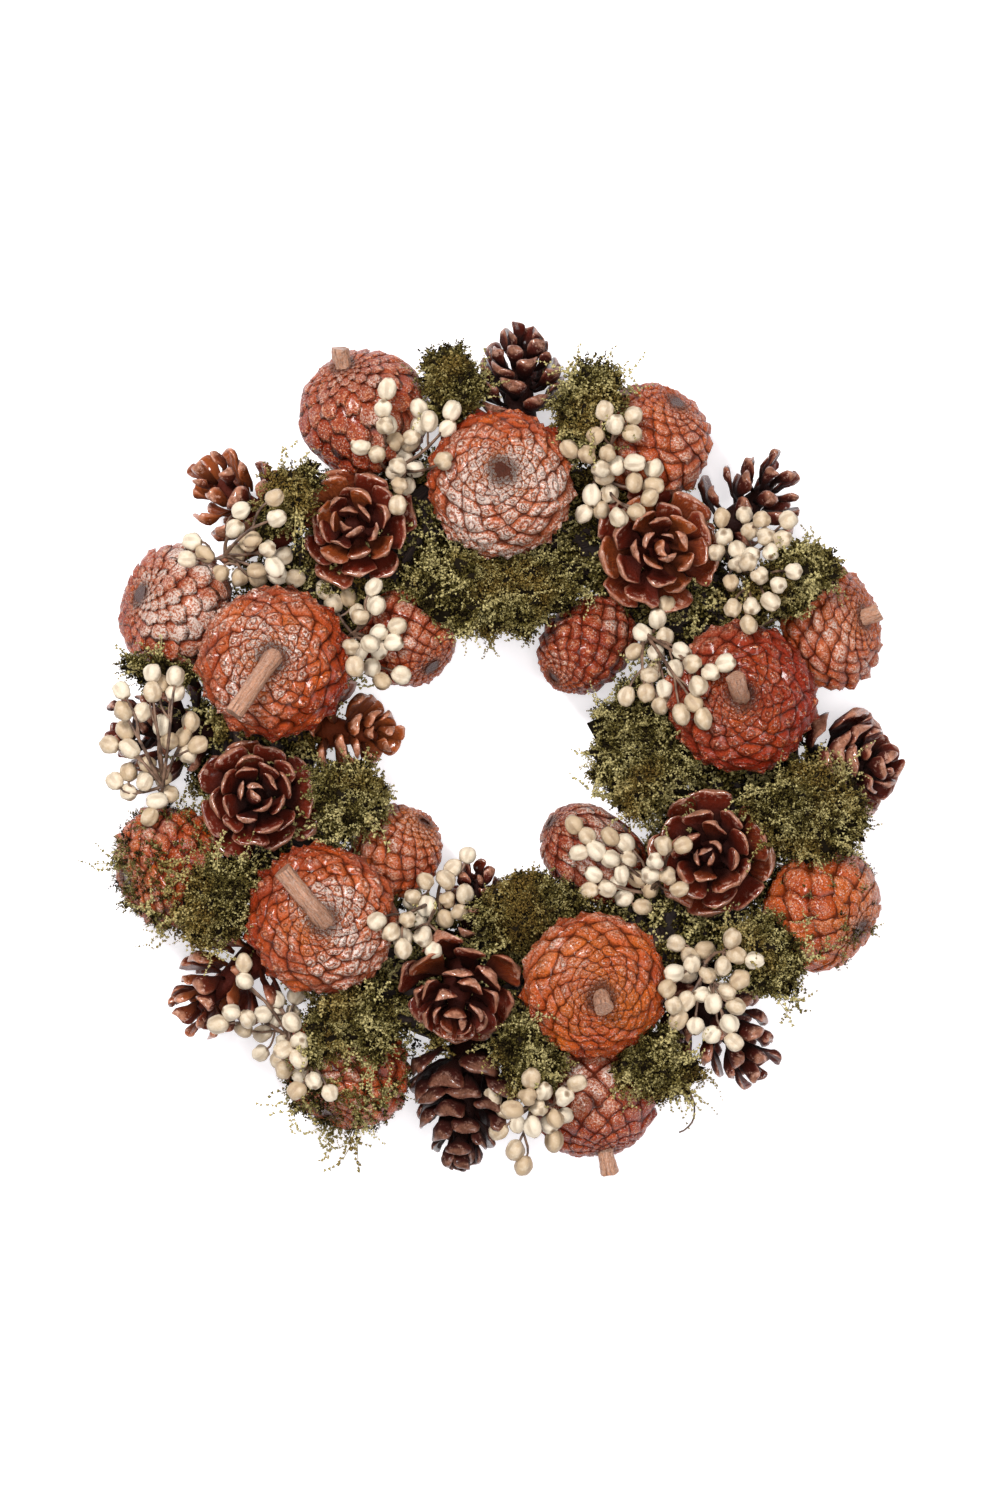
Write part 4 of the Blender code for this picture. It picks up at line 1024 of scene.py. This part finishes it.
def berry_tree(finish):
    """Twigs run along the spray's lines, and a berry sits on each marked point, its stem end to its twig."""
    tree, size = new_tree("berry_spray", {"Berry": None, "Seed": 1})
    start, seed = Wire(tree), size["Seed"]
    number = start.node("GeometryNodeInputIndex")

    def held(name, kind="FLOAT"):
        return start.node("GeometryNodeInputNamedAttribute", {"data_type": kind}, {"Name": name})

    here = start.node("GeometryNodeInputPosition")
    lines = start.node("GeometryNodeMeshToCurve", values={"Mesh": size["Geometry"]})
    twigs = lines.stem(TWIG_SIDES, 1.0, held("thick")).moved(here.wobble(160.0) * TWIG_CROOKS)
    ends = start.node("GeometryNodeMeshToPoints", values={
        "Mesh": size["Geometry"], "Selection": held("berry").of("GREATER_THAN", 0.5)})
    slim = start.point(1, 1, start.random(0.90, 1.08, seed + 4, number))
    berries = size["Berry"].shape().copied_to(
        ends, Rotation=held("way", "FLOAT_VECTOR").standing(seed, number),
        Scale=slim * start.random(0.94, 1.08, seed + 1, number))
    berries = berries.tinted(seed + 2, number).stored("wax", 1.0, "INSTANCE").real()
    berries = berries.moved(here.wobble(260.0, 1.0) * BERRY_DENTS)
    end_tree(twigs.joined(berries), finish)
    return tree


def wax_finish():
    """Ivory wax mottled with cream, with painted shade in its seams and a scorched speck at the stem, and dry
    brown twigs.
    """
    wax = Finish("berry_wax", Specular_IOR_Level=0.35)
    where, tint, pole = wax.where(), wax.attribute("tint"), wax.attribute("pole")
    mottle = wax.noise(where, 420.0, 3.0, 0.6)
    colour = (mottle * 0.7 + tint * 0.45).ramp((0.40, CREAM), (0.75, IVORY))
    # Painted shade in the creases between the lobes.
    seam = wax.attribute("seam").between(0.25, 0.90) * mottle.between(0.28, 0.50)
    colour = colour.paint(SEAM_SHADE_TAN, seam * 0.85)
    colour = colour.paint(SCORCH, pole.of("ABSOLUTE").between(0.90, 0.985) * (tint * 0.7 + 0.3))
    twig = wax.noise(where, 240.0, 3.0).ramp((0.35, TWIG_DARK), (0.70, TWIG_PALE))
    wax.colour(twig.paint(colour, wax.attribute("wax")))
    wax.roughness(mottle * 0.3 + 0.38)
    wax.relief(mottle, 0.0003)
    return wax


class Spray:
    """The lines and berries of one spray, gathered before its mesh is made."""

    def __init__(self):
        self.points, self.edges, self.thick, self.berry, self.way = [], [], [], [], []

    def add_line(self, points, root, tip, berry=False):
        """A twig through the points that thins from root to tip, with a berry on its end if it has one."""
        first, last = len(self.points), len(points) - 1
        for j, point in enumerate(points):
            self.points.append(point)
            self.thick.append(root + (tip - root) * j / last)
            self.berry.append(float(berry and j == last))
            self.way.append((points[-1] - points[-2]).normalized())
        self.edges += [(first + j, first + j + 1) for j in range(last)]

    def mesh(self, name):
        made = bpy.data.meshes.new(name)
        made.from_pydata(self.points, self.edges, [])
        return marked(made, thick=self.thick, berry=self.berry, way=self.way)


def bowed(start, end, draw):
    """A twig's points from start to end, bowed to one side and upwards."""
    side = (end - start).cross(Vector((0, 0, 1))).normalized() * draw.uniform(-TWIG_BOW, TWIG_BOW)
    side.z += draw.uniform(0, TWIG_ARCH) * (end - start).length
    shares = [j / (TWIG_STATIONS - 1) for j in range(TWIG_STATIONS)]
    return [start.lerp(end, share) + side * math.sin(math.pi * share) for share in shares]


def ball_middle(corners):
    """The middle of the berry with these three corners, on the face's inner side. None if there is none."""
    a, b, c = corners
    normal = (b - a).cross(c - a)
    if normal.length == 0:
        return None
    side = normal.cross(b - a) * (c - a).length_squared + (c - a).cross(normal) * (b - a).length_squared
    hub = a + side / (2 * normal.length_squared)
    depth = BERRY_RADIUS**2 - (hub - a).length_squared
    return hub - normal.normalized() * math.sqrt(depth) if depth > 0 else None


def packed_berries(bm):
    """The middles of a packed sprig's berries: points that many corners lie a berry's radius away from."""
    corners = [v.co.copy() for v in bm.verts]
    guesses = []
    for face in bm.faces:
        middle = ball_middle([v.co for v in face.verts])
        if middle:
            count = sum(abs((corner - middle).length - BERRY_RADIUS) < MERGE_DISTANCE for corner in corners)
            guesses.append((count, middle))
    found = []
    for count, middle in sorted(guesses, key=lambda guess: -guess[0]):
        if count >= SURE_CORNERS and all((middle - other).length > BERRY_RADIUS for other in found):
            found.append(middle)
    return found


def packed_surface(nodes):
    """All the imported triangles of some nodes, to set berries down on."""
    points, faces = [], []
    for node in nodes:
        first = len(points)
        points += [v.co.copy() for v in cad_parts[node].data.vertices]
        faces += [[first + i for i in face.vertices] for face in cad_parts[node].data.polygons]
    return BVHTree.FromPolygons(points, faces)


def level_way(bearing):
    return Vector((math.cos(bearing), math.sin(bearing), 0))


def resting_level(ground, spot):
    """The level at which a berry at this place lies on the ground below it."""
    level = 0.0
    for reach in REST_REACHES:
        for j in range(REST_SIDES):
            out = level_way(math.tau * j / REST_SIDES) * reach * BERRY_RADIUS
            hit, _, _, _ = ground.ray_cast(Vector((spot.x, spot.y, SIGHT)) + out, Vector((0, 0, -1)))
            if hit:
                level = max(level, hit.z + BERRY_RADIUS * math.sqrt(1 - reach * reach))
    return level


def twin_place(middle, others, ground, draw):
    """A place for a berry's twin beside it, clear of the others and of the ground. None if there is none."""
    for _ in range(TWIN_TRIES):
        spot = middle + level_way(draw.uniform(0, math.tau)) * BERRY_RADIUS * draw.uniform(*TWIN_GAP)
        spot.z = max(spot.z + draw.uniform(*TWIN_LEVELS) * BERRY_RADIUS, resting_level(ground, spot))
        near = spot.z - middle.z < TWIN_RISE * BERRY_RADIUS
        if near and all((spot - other).length > BERRY_GAP * BERRY_RADIUS for other in others):
            return spot
    return None


packed_sprigs = [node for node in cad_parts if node.startswith("berry_sprig_")]
ground = packed_surface([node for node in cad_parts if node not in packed_sprigs])
all_berries = {node: packed_berries(merged(node)) for node in packed_sprigs}
placed = sum(all_berries.values(), [])
sprays = berry_tree(wax_finish())
berry = linked("wax_berry", wax_berry())
for number, node in enumerate(sorted(packed_sprigs, key=lambda node: int(node.split("_")[-1])), 1):
    solid = merged(node)
    flats = [f.calc_center_median() for f in solid.faces if abs(f.normal.z) > LEVEL_FACE]
    stalk_foot, hub = min(flats, key=lambda p: p.z), max(flats, key=lambda p: p.z)
    hub.xy = stalk_foot.xy
    draw = random.Random(node)
    spray = Spray()
    stalk = [stalk_foot, stalk_foot.lerp(hub, 0.5), hub]
    spray.add_line(stalk, STALK_THICKNESS, STALK_TAPER * STALK_THICKNESS)
    middles = all_berries[node]
    for j, middle in enumerate(middles):
        twig = bowed(stalk_foot.lerp(hub, 1 - FORK_SHARE * j / len(middles)), middle, draw)
        spray.add_line(twig, TWIG_FLARE * TWIG_THICKNESS, TWIG_THICKNESS, berry=True)
        for chance in TWIN_CHANCES:
            twin = twin_place(middle, placed, ground, draw) if draw.random() < chance else None
            if twin:
                fork = bowed(twig[FORK_STATION], twin, draw)
                spray.add_line(fork, TWIG_THICKNESS, TWIG_THICKNESS, berry=True)
                placed.append(twin)
    set_in(grown(f"berry_spray_{number}", sprays, spray.mesh(node), Berry=berry, Seed=number), node)
bpy.data.objects.remove(berry)


# Stray tendrils: a few hair-thin dry stems that are stuck in the vines, escape from the moss on the outer
# side and end in a loose curl.

TENDRIL_THICKNESS, CURL_STATIONS, CURL_TURNS = 0.00034, 40, 1.4
ROOT_OUT, ROOT_LEVEL, TENDRIL_LEVEL, TENDRIL_FLARE, TENDRIL_DROP = 1.08, 0.80, 1.1, 1.5, 0.3
CURL_SIDE, CURL_START, CURL_SEED = 1.6, 0.4, 5
# Each one: (clock angle in degrees, where it starts in ring radii, how far it reaches, width of its curl)
STRAY_TENDRILS = ((150, 1.28, 0.040, 0.0042), (64, 1.30, 0.026, 0.0030), (338, 1.30, 0.034, 0.0030),
                  (252, 1.25, 0.024, 0.0035), (112, 1.25, 0.022, 0.0032))

curls = Spray()
for j, (clock, start_out, reach, curl) in enumerate(STRAY_TENDRILS):
    outward = Vector((math.sin(math.radians(clock)), math.cos(math.radians(clock)), 0))
    sideways = outward.cross(Vector((0, 0, 1))) * (-1) ** j
    first = ring_centre + outward * ring_radius * start_out + Vector((0, 0, TENDRIL_LEVEL * ring_top))
    points = [ring_centre + outward * ring_radius * ROOT_OUT + Vector((0, 0, ROOT_LEVEL * ring_top))]
    for k in range(CURL_STATIONS):
        share = k / (CURL_STATIONS - 1)
        turn = math.tau * CURL_TURNS * share**1.5
        sway = outward * math.sin(turn) + sideways * (CURL_SIDE - math.cos(turn)) * share
        onward = first + reach * share * (outward - Vector((0, 0, TENDRIL_DROP)))
        points.append(onward + sway * curl * (CURL_START + share))
    curls.add_line(points, TENDRIL_FLARE * TENDRIL_THICKNESS, TENDRIL_THICKNESS)
tendrils = grown("stray_tendrils", sprays, curls.mesh("stray_tendrils"), Seed=CURL_SEED)
set_in(tendrils)
